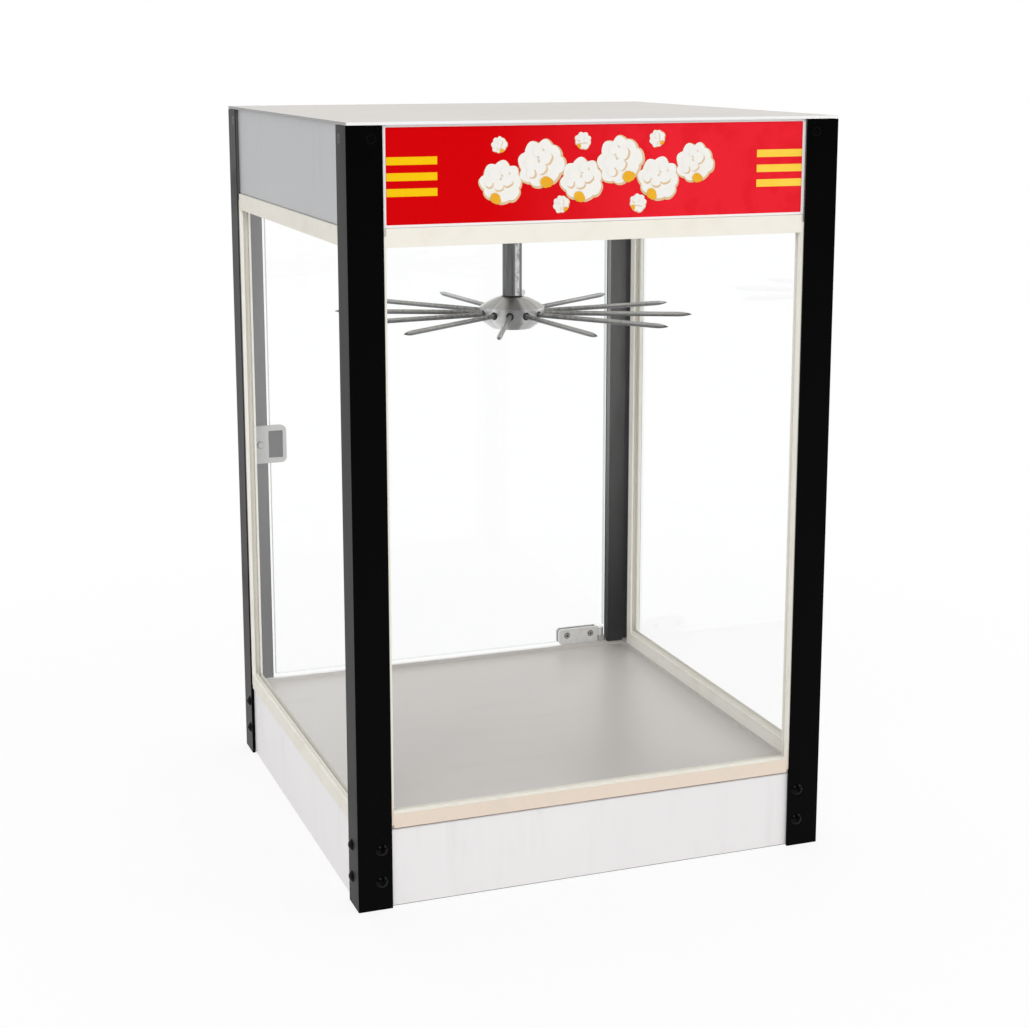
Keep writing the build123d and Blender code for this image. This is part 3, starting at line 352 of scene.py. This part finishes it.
# Painted light: faces that look up or into the cabinet are painted paler.
painted_light_faces = faces_middle(channel).most(channel.facing()[2].above(0.6))
mottle = channel.noise(scale=38, detail=4, roughness=0.6)
channel_tone = channel.mix(yellowing * at_front, fresh, aged)
channel_tone = channel.mix(painted_light_faces, channel_tone, painted_light_cream)
channel_tone = channel.mix(up.below(joint_top) * at_front, channel_tone, joint_tone)
channel_tone = channel.mix(mottle.ramp(0.45, 0.75) * 0.25, channel_tone, mottled)
cream_channel = channel.surface(
    channel_tone,
    0.42 + 0.1 * mottle,
    channel.bump(channel.noise(scale=700, detail=2), depth=0.00003),
    Specular_IOR_Level=0.4,
)
for side in ("front", "left", "right"):
    dress(cream_channel, f"{side}_glass_rails", f"{side}_glass_stiles")


# Panes: clear float glass, which shows what is behind it unbent and mirrors the room at a grazing
# angle. Cream glazing tape wraps the edges that the channels grip; its pale band also paints the light
# in the glass edges and covers the shade in the channels' slots. The door has no channel, and its
# ground edges show the green of the glass.
front_tape_low, side_tape_low = 0.0896, 0.0918
tape_high, tape_side = 0.5885, 0.1938
tape_pale, tape_dark = (0.95, 0.93, 0.87), (0.91, 0.88, 0.80)
ground_edge, edge_green = 0.0004, (0.66, 0.78, 0.73)
side_green, end_green = 0.6, 0.24
mirror_share, haze_share = 0.6, 0.008


def float_glass(pane):
    """A pane's clear faces: see-through, with a mirror on the outer face and a breath of haze."""
    haze = pane.noise(scale=9, detail=3, roughness=0.6).ramp(0.35, 0.8)
    clear = pane.node("ShaderNodeBsdfTransparent", None, {"Color": (0.998, 1.0, 0.999, 1)})
    mirror = pane.node("ShaderNodeBsdfGlossy", None, {"Color": (1, 1, 1, 1), "Roughness": 0.02})
    gloss = pane.node("ShaderNodeFresnel", None, {"IOR": 1.45})
    from_inside = pane.node("ShaderNodeNewGeometry", output="Backfacing")
    glass = pane.mix_shaders(gloss * (1 - from_inside) * mirror_share, clear, mirror)
    return pane.mix_shaders(haze * haze_share, glass, pane.diffuse((0.95, 0.96, 0.96)))


def taped_pane(name, along, tape_low):
    """A pane held in channels; along is the axis that it is wide on."""
    pane = Paint(name)
    weave = pane.noise(scale=420, detail=2)
    tape = pane.diffuse(pane.mix(weave, tape_pale, tape_dark))
    axes = pane.axes()
    # Tape, whose pale band also paints the light in the glass edges over the slots' shade.
    tape_and_edge_light = axes[2].below(tape_low).most(axes[2].above(tape_high))
    tape_and_edge_light = tape_and_edge_light.most(abs(axes[along]).above(tape_side))
    return pane.ends(pane.mix_shaders(tape_and_edge_light, float_glass(pane), tape))


def ground_pane(name, node_name):
    """A pane with bare edges, which are greener at its sides than at its ends."""
    pane = Paint(name)
    low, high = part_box(node_name)
    right, up = pane.axes()[0], pane.axes()[2]
    at_side = right.below(low.x + ground_edge).most(right.above(high.x - ground_edge))
    at_end = up.below(low.z + ground_edge).most(up.above(high.z - ground_edge))
    green = (at_side * side_green).most(at_end * end_green)
    return pane.ends(pane.mix_shaders(green, float_glass(pane), pane.diffuse(edge_green)))


dress(taped_pane("front_pane", 0, front_tape_low), "front_glass")
dress(taped_pane("side_pane", 1, side_tape_low), "left_glass", "right_glass")
dress(ground_pane("door_pane", "door_glass"), "door_glass")


# Sign: a white acrylic panel, held in the hood's front opening. The red ground and the yellow bars
# are cut from printed film and laid on its face, with a white margin left all round. Both are painted
# paler towards the right, as a painted sheen.
print_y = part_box("sign_panel")[0].y
film = 0.00012
red_left, red_right, red_low, red_high = -0.1938, 0.1942, 0.6075, 0.6883
bar_inner, bar_height, bar_inset = 0.149, 0.0066, 0.0003
bar_centres = (0.6605, 0.6473, 0.6343)
ground_corner, bar_corner = 0.001, 0.0002


def clear_selection():
    if bpy.context.object and bpy.context.object.mode != "OBJECT":
        bpy.ops.object.mode_set(mode="OBJECT")
    bpy.ops.object.select_all(action="DESELECT")


def named(name, material, body="cabinet"):
    """Names the active piece, sets its place into its mesh, and gives it a material and a body."""
    piece = bpy.context.object
    clear_selection()
    piece.select_set(True)
    bpy.context.view_layer.objects.active = piece
    bpy.ops.object.transform_apply(location=True, rotation=True, scale=True)
    piece.name = name
    piece.data.name = name
    piece.data.materials.clear()
    piece.data.materials.append(material)
    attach(piece, body)
    return piece


def film_plate(left, right, low, high, layer, corner):
    """A rectangle of film on the sign's face, its corners cut round."""
    clear_selection()
    bpy.ops.mesh.primitive_plane_add(size=1, location=(0, 0, 0))
    plate = bpy.context.object
    plate.rotation_euler = (math.radians(90), 0, 0)
    plate.scale = (right - left, high - low, 1)
    plate.location = ((left + right) / 2, print_y - layer * film, (low + high) / 2)
    bpy.ops.object.transform_apply(location=True, rotation=True, scale=True)
    bpy.ops.object.mode_set(mode="EDIT")
    bpy.ops.mesh.select_all(action="SELECT")
    bpy.ops.mesh.bevel(offset=corner, segments=4, affect="VERTICES")
    bpy.ops.mesh.select_all(action="SELECT")
    bpy.ops.mesh.extrude_region_move(TRANSFORM_OT_translate={"value": (0, -film, 0)})
    bpy.ops.mesh.select_all(action="SELECT")
    bpy.ops.mesh.normals_make_consistent(inside=False)
    bpy.ops.object.mode_set(mode="OBJECT")
    return plate


def joined(pieces):
    """Joins pieces into the first of them and leaves it active."""
    clear_selection()
    for piece in pieces:
        piece.select_set(True)
    bpy.context.view_layer.objects.active = pieces[0]
    bpy.ops.object.join()
    return bpy.context.object


def printed(name, colour, other, painted_sheen=None, dappled=0.5, roughness=0.22, specular=0.08):
    """Glossy printed film, with the faint dapple of film laid by hand. A painted sheen is given by the
    two places across the sign that the colour pales between, and the paler colour that it reaches."""
    ink = Paint(name)
    dapple = ink.noise(scale=55, detail=3, roughness=0.55)
    if painted_sheen:
        begins, ends, sheen_colour = painted_sheen
        colour = ink.mix(ink.axes()[0].ramp(begins, ends), colour, sheen_colour)
    return ink.surface(
        ink.mix(dapple.ramp(0.4, 0.7) * dappled, colour, other),
        roughness + 0.08 * dapple,
        ink.bump(ink.noise(scale=160, detail=2), depth=0.00002),
        Specular_IOR_Level=specular,
    )


dress(printed("white_acrylic", (0.91, 0.90, 0.89), (0.87, 0.86, 0.85)), "sign_panel")
# The red and the yellow pale towards the right as a painted sheen.
red_print = printed(
    "red_print",
    (0.66, 0.0, 0.0015),
    (0.62, 0.0, 0.002),
    painted_sheen=(-0.12, 0.08, (0.84, 0.018, 0.032)),
    dappled=0.25,
    roughness=0.24,
    specular=0.04,
)
film_plate(red_left, red_right, red_low, red_high, 0, ground_corner)
named("sign_ground", red_print)

bars = []
for centre in bar_centres:
    low, high = centre - bar_height / 2, centre + bar_height / 2
    bars.append(film_plate(red_left + bar_inset, -bar_inner, low, high, 1, bar_corner))
    bars.append(film_plate(bar_inner, red_right - bar_inset, low, high, 1, bar_corner))
joined(bars)
yellow_print = printed(
    "yellow_print",
    (0.93, 0.56, 0.002),
    (0.90, 0.55, 0.01),
    painted_sheen=(-0.12, 0.12, (0.98, 0.655, 0.075)),
    dappled=0.2,
    roughness=0.24,
)
named("sign_bars", yellow_print)


# Popcorn on the sign: one burst kernel is cut from white film over tan, with tan shading between its
# lobes and a golden husk at its foot, and then copied over the middle of the red ground. A round is
# given by its place to the right, its place up and its radius, for a kernel of size 1.
lobes = (
    (0.02, 0.20, 0.52),
    (-0.48, 0.30, 0.38),
    (0.50, 0.26, 0.37),
    (-0.14, 0.62, 0.34),
    (0.34, 0.60, 0.29),
    (-0.62, -0.14, 0.31),
    (0.60, -0.18, 0.34),
    (-0.28, -0.36, 0.36),
    (0.26, -0.40, 0.35),
)
crescents = (
    (-0.30, 0.12, 0.27),
    (0.30, 0.16, 0.25),
    (0.00, -0.16, 0.22),
    (0.08, 0.48, 0.20),
    (-0.44, -0.22, 0.17),
)
husk = ((-0.02, -0.66, 0.22), (0.10, -0.72, 0.17))
layer_step = 0.01


def film_disc(x, z, radius, layer, turn):
    """A round of film with a gently waved edge, a few layers above the sign's face."""
    clear_selection()
    bpy.ops.mesh.primitive_circle_add(vertices=32, radius=radius, fill_type="NGON")
    disc = bpy.context.object
    for vertex in disc.data.vertices:
        angle = math.atan2(vertex.co.y, vertex.co.x)
        vertex.co *= 1 + 0.035 * math.sin(3 * angle + turn) + 0.02 * math.sin(5 * angle + 2 * turn)
    disc.rotation_euler = (math.radians(90), 0, 0)
    disc.location = (x, -layer, z)
    bpy.ops.object.transform_apply(location=True, rotation=True, scale=True)
    return disc


def film_rounds(rounds, layer, right=0.0, up=0.0, rim=0.0, growth=1.0):
    """Cuts a round of film for each in the list, each a shade higher than the one before."""
    return [
        film_disc(x + right, z + up, radius * growth + rim, layer + layer_step * index, index)
        for index, (x, z, radius) in enumerate(rounds)
    ]


shade_discs = film_rounds(lobes, 1, right=0.03, up=-0.05, rim=0.055)
white_discs = film_rounds(lobes, 2)
shade_discs += film_rounds(crescents, 3)
white_discs += film_rounds(crescents, 4, right=-0.06, up=0.07, growth=1.02)
husk_discs = film_rounds(husk, 5)
puff_shade, puff_white, puff_husk = joined(shade_discs), joined(white_discs), joined(husk_discs)

# Each puff's place to the right, its place up, its size and its turn in radians.
puff_places = (
    (-0.0930, 0.6400, 0.0200, 0.35),
    (-0.0560, 0.6545, 0.0225, -0.30),
    (-0.0190, 0.6405, 0.0205, 0.15),
    (0.0170, 0.6560, 0.0225, -0.55),
    (0.0530, 0.6400, 0.0205, 0.45),
    (0.0880, 0.6530, 0.0190, -0.20),
    (-0.0375, 0.6205, 0.0080, -0.80),
    (0.0340, 0.6200, 0.0085, 0.90),
    (-0.0180, 0.6745, 0.0080, 0.70),
    (0.0520, 0.6750, 0.0080, -0.90),
    (-0.0940, 0.6720, 0.0075, -0.45),
)


def strewn(master, name, material):
    """Copies the burst kernel's film to every place on the sign and joins the copies."""
    copies = []
    for x, z, size, turn in puff_places:
        copy = master.copy()
        copy.data = master.data.copy()
        place = Matrix.Translation((x, print_y - film, z))
        flat = Matrix.Diagonal((size, film, size, 1))
        copy.matrix_world = place @ Matrix.Rotation(turn, 4, "Y") @ flat
        scene.collection.objects.link(copy)
        copies.append(copy)
    bpy.data.objects.remove(master)
    joined(copies)
    named(name, material)


strewn(puff_shade, "sign_puff_shades", printed("tan_print", (0.72, 0.52, 0.30), (0.80, 0.61, 0.38)))
strewn(puff_husk, "sign_puff_husks", printed("golden_print", (0.85, 0.45, 0.03), (0.78, 0.36, 0.02)))
strewn(puff_white, "sign_puffs", printed("white_print", (0.88, 0.86, 0.82), (0.86, 0.84, 0.79)))


# Rack shaft: zinc-plated steel bar, which the gear motor turns. The zinc is dull and streaked along
# the bar, except in a painted highlight up one side, and painted shade darkens it just above the hub.
dull_dark, dull_pale = (0.10, 0.10, 0.105), (0.19, 0.19, 0.195)
highlight_dark, highlight_pale = (0.34, 0.34, 0.345), (0.88, 0.88, 0.88)
highlight_from, highlight_to, highlight_blur = -1.70, -1.00, 0.16
gap_shade_rise, gap_shade_tone = 0.0016, (0.012, 0.012, 0.012)
hub_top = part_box("rack_hub")[1].z


def round_middle(paint):
    """The angle of a point round the upright line that the rack turns on, in radians."""
    right, rear = paint.axes()[:2]
    return rear.math("ARCTAN2", right)


shaft = Paint("shaft_zinc")
around = round_middle(shaft)
flake = shaft.noise(scale=240, detail=4, roughness=0.7, at=shaft.stretched((1, 1, 0.35)))
drawn = shaft.noise(scale=700, detail=3, roughness=0.6, at=shaft.stretched((1, 1, 0.03)))
# Painted highlight: a bright band up one side of the shaft.
painted_highlight_band = around.ramp(highlight_from, highlight_from + highlight_blur) * (1 - around.ramp(highlight_to - highlight_blur, highlight_to))
dull_tone = shaft.mix(drawn.ramp(0.35, 0.65), dull_dark, dull_pale)
highlight_tone = shaft.mix(flake.ramp(0.4, 0.6), highlight_dark, highlight_pale)
shaft_tone = shaft.mix(painted_highlight_band, dull_tone, highlight_tone)
# Painted shade darkens the shaft just above the hub, where it enters.
shaft_zinc = shaft.surface(
    shaft.mix(shaft.axes()[2].below(hub_top + gap_shade_rise), shaft_tone, gap_shade_tone),
    0.26 + 0.16 * flake,
    shaft.bump(drawn, depth=0.00003),
    Metallic=0.9,
)
dress(shaft_zinc, "rack_shaft", "output_shaft")


# Rack rods: drawn steel, set in sockets in the hub and ground to points. They are wiped bright towards
# their outer ends and darker on the points, and painted shade darkens them underneath.
rod_level = (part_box("rack_spokes")[0].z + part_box("rack_spokes")[1].z) / 2
shade_below, shade_clear_above = rod_level - 0.0006, rod_level + 0.0014
wiped_from, wiped_to = 0.05, 0.12
point_from, point_to = 0.1700, 0.1730
rod_dark, rod_pale, rod_wiped = (0.24, 0.24, 0.24), (0.46, 0.455, 0.45), (0.74, 0.735, 0.73)
underside_and_point_dark = (0.035, 0.035, 0.035)


def from_middle(paint):
    """How far a point is from the upright line that the rack turns on."""
    right, rear = paint.axes()[:2]
    return (right * right + rear * rear) ** 0.5


rod = Paint("rod_steel")
outward = from_middle(rod)
scale_marks = rod.noise(scale=300, detail=4, roughness=0.65, at=rod.stretched((1, 1, 0.6)))
# Painted shade on the rods' undersides.
underside = 1 - rod.axes()[2].ramp(shade_below, shade_clear_above)
rod_tone = rod.mix(scale_marks.ramp(0.38, 0.62), rod_dark, rod_pale)
rod_tone = rod.mix(outward.ramp(wiped_from, wiped_to) * 0.6, rod_tone, rod_wiped)
rod_tone = rod.mix(underside.most(outward.ramp(point_from, point_to)) * 0.8, rod_tone, underside_and_point_dark)
rod_steel = rod.surface(
    rod_tone, 0.22 + 0.16 * scale_marks, rod.bump(scale_marks, depth=0.00003), Metallic=0.85
)
dress(rod_steel, "rack_spokes")


# Rack hub: turned from aluminium bar, with fine rings from the lathe and broad bright and dull
# sectors. A painted dark reflection darkens the front, and painted shade darkens the rods' sockets and
# the ring round the shaft.
rod_count, first_rod = 12, -1.9918
rod_pitch = math.tau / rod_count
socket_radius, socket_from = 0.0038, 0.0280
shaft_hole, head_drop = 0.0112, 0.0013
shade_angle, shade_reach, shade_ends_by = -1.86, 0.16, 0.42
hub_dark, hub_pale, painted_reflection_dark = (0.62, 0.62, 0.625), (0.95, 0.95, 0.95), (0.20, 0.20, 0.205)
painted_recess_shade = (0.008, 0.008, 0.008)

hub = Paint("turned_aluminium")
right, rear, up = hub.axes()
outward, around = from_middle(hub), round_middle(hub)
across_rings = hub.node("ShaderNodeCombineXYZ", None, {0: outward, 1: 0.0, 2: up})
round_hub = hub.node("ShaderNodeCombineXYZ", None, {0: right / outward, 1: rear / outward, 2: 0.0})
rings = hub.noise(scale=1500, detail=2, roughness=0.6, at=across_rings)
sectors = hub.noise(scale=1.6, detail=2, roughness=0.6, at=round_hub)
hub_tone = hub.mix(sectors.ramp(0.40, 0.60), hub_dark, hub_pale)
# Painted reflection: a dark band at the front of the hub.
painted_reflection_shade = 1 - abs(around - shade_angle).ramp(shade_reach, shade_ends_by)
hub_tone = hub.mix(painted_reflection_shade * 0.85, hub_tone, painted_reflection_dark)
steps = (around - first_rod) / rod_pitch
beside_rod = (steps - steps.math("ROUND")) * rod_pitch * outward
above_rod = up - rod_level
near_rod = (beside_rod * beside_rod + above_rod * above_rod).below(socket_radius**2)
# Painted shade in the rods' sockets and round the shaft.
in_socket = near_rod * outward.above(socket_from)
at_shaft = outward.below(shaft_hole) * up.above(hub_top - head_drop)
turned_aluminium = hub.surface(
    hub.mix(in_socket.most(at_shaft), hub_tone, painted_recess_shade),
    0.28 + 0.14 * sectors,
    hub.bump(rings, depth=0.00004),
    Metallic=0.9,
)
dress(turned_aluminium, "rack_hub")


# Milled and plated fittings: the gearbox and the door's pull are milled from aluminium, and the
# lugs and strike plate of the door are bright plated steel. Small screws and clips are dull zinc.
def plated(name, colour, other, roughness, grain_scale=(1, 1, 1), mottle_scale=60):
    """Bare or plated metal with a soft mottle and fine grain."""
    metal = Paint(name)
    grain = metal.noise(scale=700, detail=3, roughness=0.6, at=metal.stretched(grain_scale))
    mottle = metal.noise(scale=mottle_scale, detail=4, roughness=0.65)
    return metal.surface(
        metal.mix(mottle.ramp(0.35, 0.7), colour, other),
        roughness + 0.14 * mottle,
        metal.bump(grain, depth=0.00003),
        Metallic=1.0,
    )


milled = plated(
    "milled_aluminium",
    (0.58, 0.58, 0.58),
    (0.70, 0.70, 0.695),
    roughness=0.32,
    grain_scale=(1, 1, 0.1),
    mottle_scale=50,
)
dress(milled, "gearbox", "door_pull")
bright_plate = plated("bright_plate", (0.66, 0.66, 0.65), (0.76, 0.755, 0.745), 0.20, mottle_scale=30)
dress(bright_plate, "hinge_lugs", "strike_plate")
dull_zinc = plated("dull_zinc", (0.50, 0.50, 0.49), (0.62, 0.62, 0.60), 0.34, mottle_scale=90)
dress(dull_zinc, "catch_screw", "post_nuts", "rack_screws", "motor_screws", "shaft_collar", "heater_clips")


# Hinge clamps: plated jaws that grip the door's glass with two socket screws each. A ring of painted
# shade shows round each screw, and each screw's socket is painted black, as painted shade.
screw_places, screw_levels = (0.1769, 0.1479), (0.0849, 0.5941)
shade_ring_radius, painted_socket_radius = 0.0035, 0.0013


def from_clamp_screw(paint):
    """How far a point is from the axis of the nearest screw in the hinge clamps."""
    right, up = paint.axes()[0], paint.axes()[2]
    beside = abs(right - screw_places[0]).least(abs(right - screw_places[1]))
    above = abs(up - screw_levels[0]).least(abs(up - screw_levels[1]))
    return (beside * beside + above * above) ** 0.5


jaws = Paint("clamp_plate")
rub = jaws.noise(scale=90, detail=4, roughness=0.65)
plate_tone = jaws.mix(rub.ramp(0.35, 0.7), (0.90, 0.90, 0.89), (0.78, 0.78, 0.77))
# Painted shade: a dark ring round each screw.
plate_tone = jaws.mix(from_clamp_screw(jaws).below(shade_ring_radius), plate_tone, (0.16, 0.16, 0.16))
clamp_plate = jaws.surface(plate_tone, 0.24 + 0.12 * rub, jaws.bump(rub, depth=0.00003), Metallic=0.5)
dress(clamp_plate, "hinge_clamps")

grub = Paint("socket_screw")
wear = grub.noise(scale=400, detail=3)
screw_tone = grub.mix(wear, (0.42, 0.42, 0.42), (0.60, 0.60, 0.59))
# Painted shade: a black disc for each screw's socket.
screw_tone = grub.mix(from_clamp_screw(grub).below(painted_socket_radius), screw_tone, (0.02, 0.02, 0.02))
socket_screw = grub.surface(screw_tone, 0.3 + 0.1 * wear, grub.bump(wear, depth=0.00002), Metallic=0.7)
dress(socket_screw, "clamp_screws")


# Door catch: a pale sheet bracket on the rear left post, which holds a block magnet. The magnet is
# sintered ferrite, dark and slightly grainy, as the motor's stack of iron sheets is.
catch_polish = (1, 1, 0.1)
catch_plate = satin_sheet(
    "catch_plate", (0.60, 0.60, 0.60), (0.55, 0.55, 0.55), catch_polish, roughness=0.45, metallic=0.3
)
dress(catch_plate, "door_catch")


def cast_dark(name, colour, other, roughness, specular=0.5):
    """Dark, slightly grainy stuff: ferrite, moulded plastic, oxide or laminated iron."""
    stuff = Paint(name)
    grit = stuff.noise(scale=1400, detail=2)
    patch = stuff.noise(scale=50, detail=3)
    return stuff.surface(
        stuff.mix(patch, colour, other),
        roughness + 0.1 * grit,
        stuff.bump(grit, depth=0.00005),
        Specular_IOR_Level=specular,
    )


ferrite = cast_dark("ferrite", (0.030, 0.030, 0.032), (0.055, 0.055, 0.058), 0.55)
dress(ferrite, "catch_magnet", "motor_stator")


# Switches, cord gland and heater: black mouldings in the hood's rear panel and under the deck, and
# the heater's sheathed element, which is brown from its own heat.
black_moulding = cast_dark("black_moulding", (0.012, 0.012, 0.012), (0.022, 0.022, 0.022), 0.42)
dress(black_moulding, "switch_bodies", "cord_gland", "thermostat", "light_rocker", "motor_rocker")
dress(cast_dark("heater_sheath", (0.10, 0.085, 0.075), (0.17, 0.15, 0.14), 0.5), "heater_element")


# Post screws: black truss-head machine screws low on every leg, with countersunk ones near the top.
# A cross recess is pressed in each head; the shanks go through the sheet to the nuts inside.
head_radius, head_rise, sink_radius = 0.00585, 0.0028, 0.0046
recess_width, recess_depth, truss_reach, sunk_reach = 0.00115, 0.0017, 0.0026, 0.0025
shank_radius, shank_length = 0.0024, 0.014
low_row, high_row, top_row = 0.026, 0.056, 0.679
corner_distance = 0.022
leg_face = -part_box("post_front_left")[0].y
leg_place = leg_face - corner_distance


def cross_recess(blank, level, reach):
    """Presses a cross into the blank from above and shades it."""
    clear_selection()
    bpy.ops.mesh.primitive_cube_add(size=1, location=(0, 0, level))
    cutter = bpy.context.object
    cutter.scale = (2 * reach, recess_width, 2 * recess_depth)
    bpy.ops.object.transform_apply(location=False, rotation=False, scale=True)
    bpy.ops.object.mode_set(mode="EDIT")
    bpy.ops.mesh.select_all(action="SELECT")
    bpy.ops.mesh.duplicate()
    bpy.ops.transform.rotate(value=math.radians(90), orient_axis="Z", center_override=(0, 0, level))
    bpy.ops.object.mode_set(mode="OBJECT")
    clear_selection()
    bpy.context.view_layer.objects.active = blank
    blank.select_set(True)
    pressed = blank.modifiers.new("recess", "BOOLEAN")
    pressed.operation = "DIFFERENCE"
    pressed.solver = "EXACT"
    pressed.use_self = True
    pressed.object = cutter
    bpy.ops.object.modifier_apply(modifier=pressed.name)
    bpy.data.objects.remove(cutter)
    bpy.ops.object.shade_smooth_by_angle(angle=math.radians(30))
    return blank


def shanked(blank):
    """Adds the shank under a head."""
    clear_selection()
    bpy.ops.mesh.primitive_cylinder_add(
        vertices=16, radius=shank_radius, depth=shank_length, location=(0, 0, -shank_length / 2)
    )
    return joined([blank, bpy.context.object])


sphere_radius = (head_radius**2 + head_rise**2) / (2 * head_rise)
clear_selection()
bpy.ops.mesh.primitive_uv_sphere_add(
    segments=40, ring_count=40, radius=sphere_radius, location=(0, 0, head_rise - sphere_radius)
)
truss_head = bpy.context.object
bpy.ops.object.transform_apply(location=True, rotation=True, scale=True)
bpy.ops.object.mode_set(mode="EDIT")
bpy.ops.mesh.select_all(action="SELECT")
bpy.ops.mesh.bisect(plane_co=(0, 0, 0), plane_no=(0, 0, 1), use_fill=True, clear_inner=True)
bpy.ops.object.mode_set(mode="OBJECT")
truss_head = shanked(cross_recess(truss_head, head_rise, truss_reach))

sink_depth = sink_radius - shank_radius
clear_selection()
bpy.ops.mesh.primitive_cone_add(
    vertices=40, radius1=shank_radius, radius2=sink_radius, depth=sink_depth, location=(0, 0, -sink_depth / 2)
)
sunk_head = bpy.context.object
bpy.ops.object.transform_apply(location=True, rotation=True, scale=True)
sunk_head = shanked(cross_recess(sunk_head, 0, sunk_reach))

# Each row's level, its head, and how far its recess is turned; no two neighbours are alike.
screw_rows = ((low_row, truss_head, 20), (high_row, truss_head, 65), (top_row, sunk_head, 35))
quarter_turn, side_turn = 31, 17
heads = []
for quarter in range(4):
    to_quarter = Matrix.Rotation(math.radians(90 * quarter), 4, "Z")
    for side in (-1, 1):
        for level, master, turn in screw_rows:
            copy = master.copy()
            copy.data = master.data.copy()
            place = to_quarter @ Matrix.Translation((side * leg_place, -leg_face, level))
            outward_turn = Matrix.Rotation(math.radians(90), 4, "X")
            recess_turn = math.radians(turn + quarter_turn * quarter + side_turn * side)
            copy.matrix_world = place @ outward_turn @ Matrix.Rotation(recess_turn, 4, "Z")
            scene.collection.objects.link(copy)
            heads.append(copy)
bpy.data.objects.remove(truss_head)
bpy.data.objects.remove(sunk_head)
joined(heads)
post_screws = named("post_screw_heads", cast_dark("black_oxide", jet, dusty, 0.15, 0.09))
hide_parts("post_screws")


# Bearing and lamps: a bronze bush pressed in the ceiling, glazed sockets, frosted bulbs and frosted
# lenses. All sit above the ceiling, where only the lenses show from below.
dress(plated("bearing_bronze", (0.45, 0.27, 0.10), (0.58, 0.38, 0.17), 0.35), "shaft_bearing")


def frosted(name, colour, other):
    """Pale glaze or etched glass, faintly uneven."""
    glaze = Paint(name)
    bloom = glaze.noise(scale=30, detail=3)
    ripple = glaze.bump(glaze.noise(scale=800, detail=2), depth=0.00002)
    return glaze.surface(glaze.mix(bloom, colour, other), 0.35 + 0.2 * bloom, ripple)


dress(frosted("glazed_socket", (0.80, 0.79, 0.75), (0.84, 0.83, 0.80)), "lamp_sockets")
dress(frosted("frosted_glass", (0.86, 0.83, 0.76), (0.90, 0.88, 0.82)), "lamp_bulbs", "lamp_lenses")


# Floor: a white paper sweep that keeps the cabinet's soft shadow. To the camera, and in glass and
# polished metal, it glows towards plain white, less so close to the cabinet.
white = (1, 1, 1, 1)
shadow_reach, white_from = 0.4, 1.3
near_glow, far_glow = 0.86, 1.0

sweep = Paint("floor_paint")
paper = sweep.diffuse(sweep.mix(sweep.noise(scale=3, detail=3), (0.88, 0.88, 0.88), (0.90, 0.90, 0.90)))
glow = sweep.node("ShaderNodeEmission", None, {"Color": white, "Strength": 1.0})
seen = sweep.node("ShaderNodeLightPath", output="Is Camera Ray")
mirrored = sweep.node("ShaderNodeLightPath", output="Is Glossy Ray")
passed = sweep.node("ShaderNodeLightPath", output="Is Transmission Ray")
glowing = from_middle(sweep).ramp(shadow_reach, white_from, near_glow, far_glow)
floor_paint = sweep.ends(sweep.mix_shaders(seen.most(mirrored).most(passed) * glowing, paper, glow))
clear_selection()
bpy.ops.mesh.primitive_grid_add(x_subdivisions=8, y_subdivisions=8, size=24, location=(0, 0, 0))
floor = bpy.context.object
floor.name = "floor"
floor.data.materials.append(floor_paint)


# Room: white behind the cabinet, and dim in front and overhead where polished metal and glass mirror
# it, as a studio is behind the photographer. Its light on the object is even and plain.
dim_front, dim_overhead, room_light = 0.06, 0.55, 0.62
dim_until, white_beyond = -0.55, 0.15
wall_top, overhead_from = 0.35, 0.85

room = Paint("room", bpy.data.worlds.new("room"))
scene.world = room.owner
to_rear, to_top = room.parts(room.node("ShaderNodeTexCoord", output="Generated"))[1:]
seen = room.node("ShaderNodeLightPath", output="Is Camera Ray")
passed = room.node("ShaderNodeLightPath", output="Is Transmission Ray")
mirrored = room.node("ShaderNodeLightPath", output="Is Glossy Ray")
backdrop = to_rear.ramp(dim_until, white_beyond, dim_front, 1.0)
overhead = to_top.ramp(wall_top, overhead_from, 1.0, dim_overhead)
direct = seen.most(passed)
strength = direct + (1 - direct) * (mirrored * backdrop * overhead + (1 - mirrored) * room_light)
air = room.node("ShaderNodeBackground", None, {"Color": white, "Strength": strength})
room.node("ShaderNodeOutputWorld", None, {"Surface": air})


# Lamps: three large square softboxes, the key from the front left, a weaker fill from the right and
# one overhead. All aim a little below the cabinet's middle.
lamp_aim = Vector((0, 0, 0.3))


def soft_lamp(name, place, size, power):
    lamp_data = bpy.data.lights.new(name, "AREA")
    lamp_data.shape = "SQUARE"
    lamp_data.size = size
    lamp_data.energy = power
    lamp = bpy.data.objects.new(name, lamp_data)
    lamp.location = place
    lamp.rotation_euler = (lamp_aim - Vector(place)).to_track_quat("-Z", "Y").to_euler()
    scene.collection.objects.link(lamp)


soft_lamp("key_lamp", (-1.6, -3.0, 2.6), size=1.8, power=42)
soft_lamp("fill_lamp", (3.0, -1.6, 1.9), size=1.8, power=26)
soft_lamp("top_lamp", (0.2, 0.6, 3.2), size=1.6, power=26)
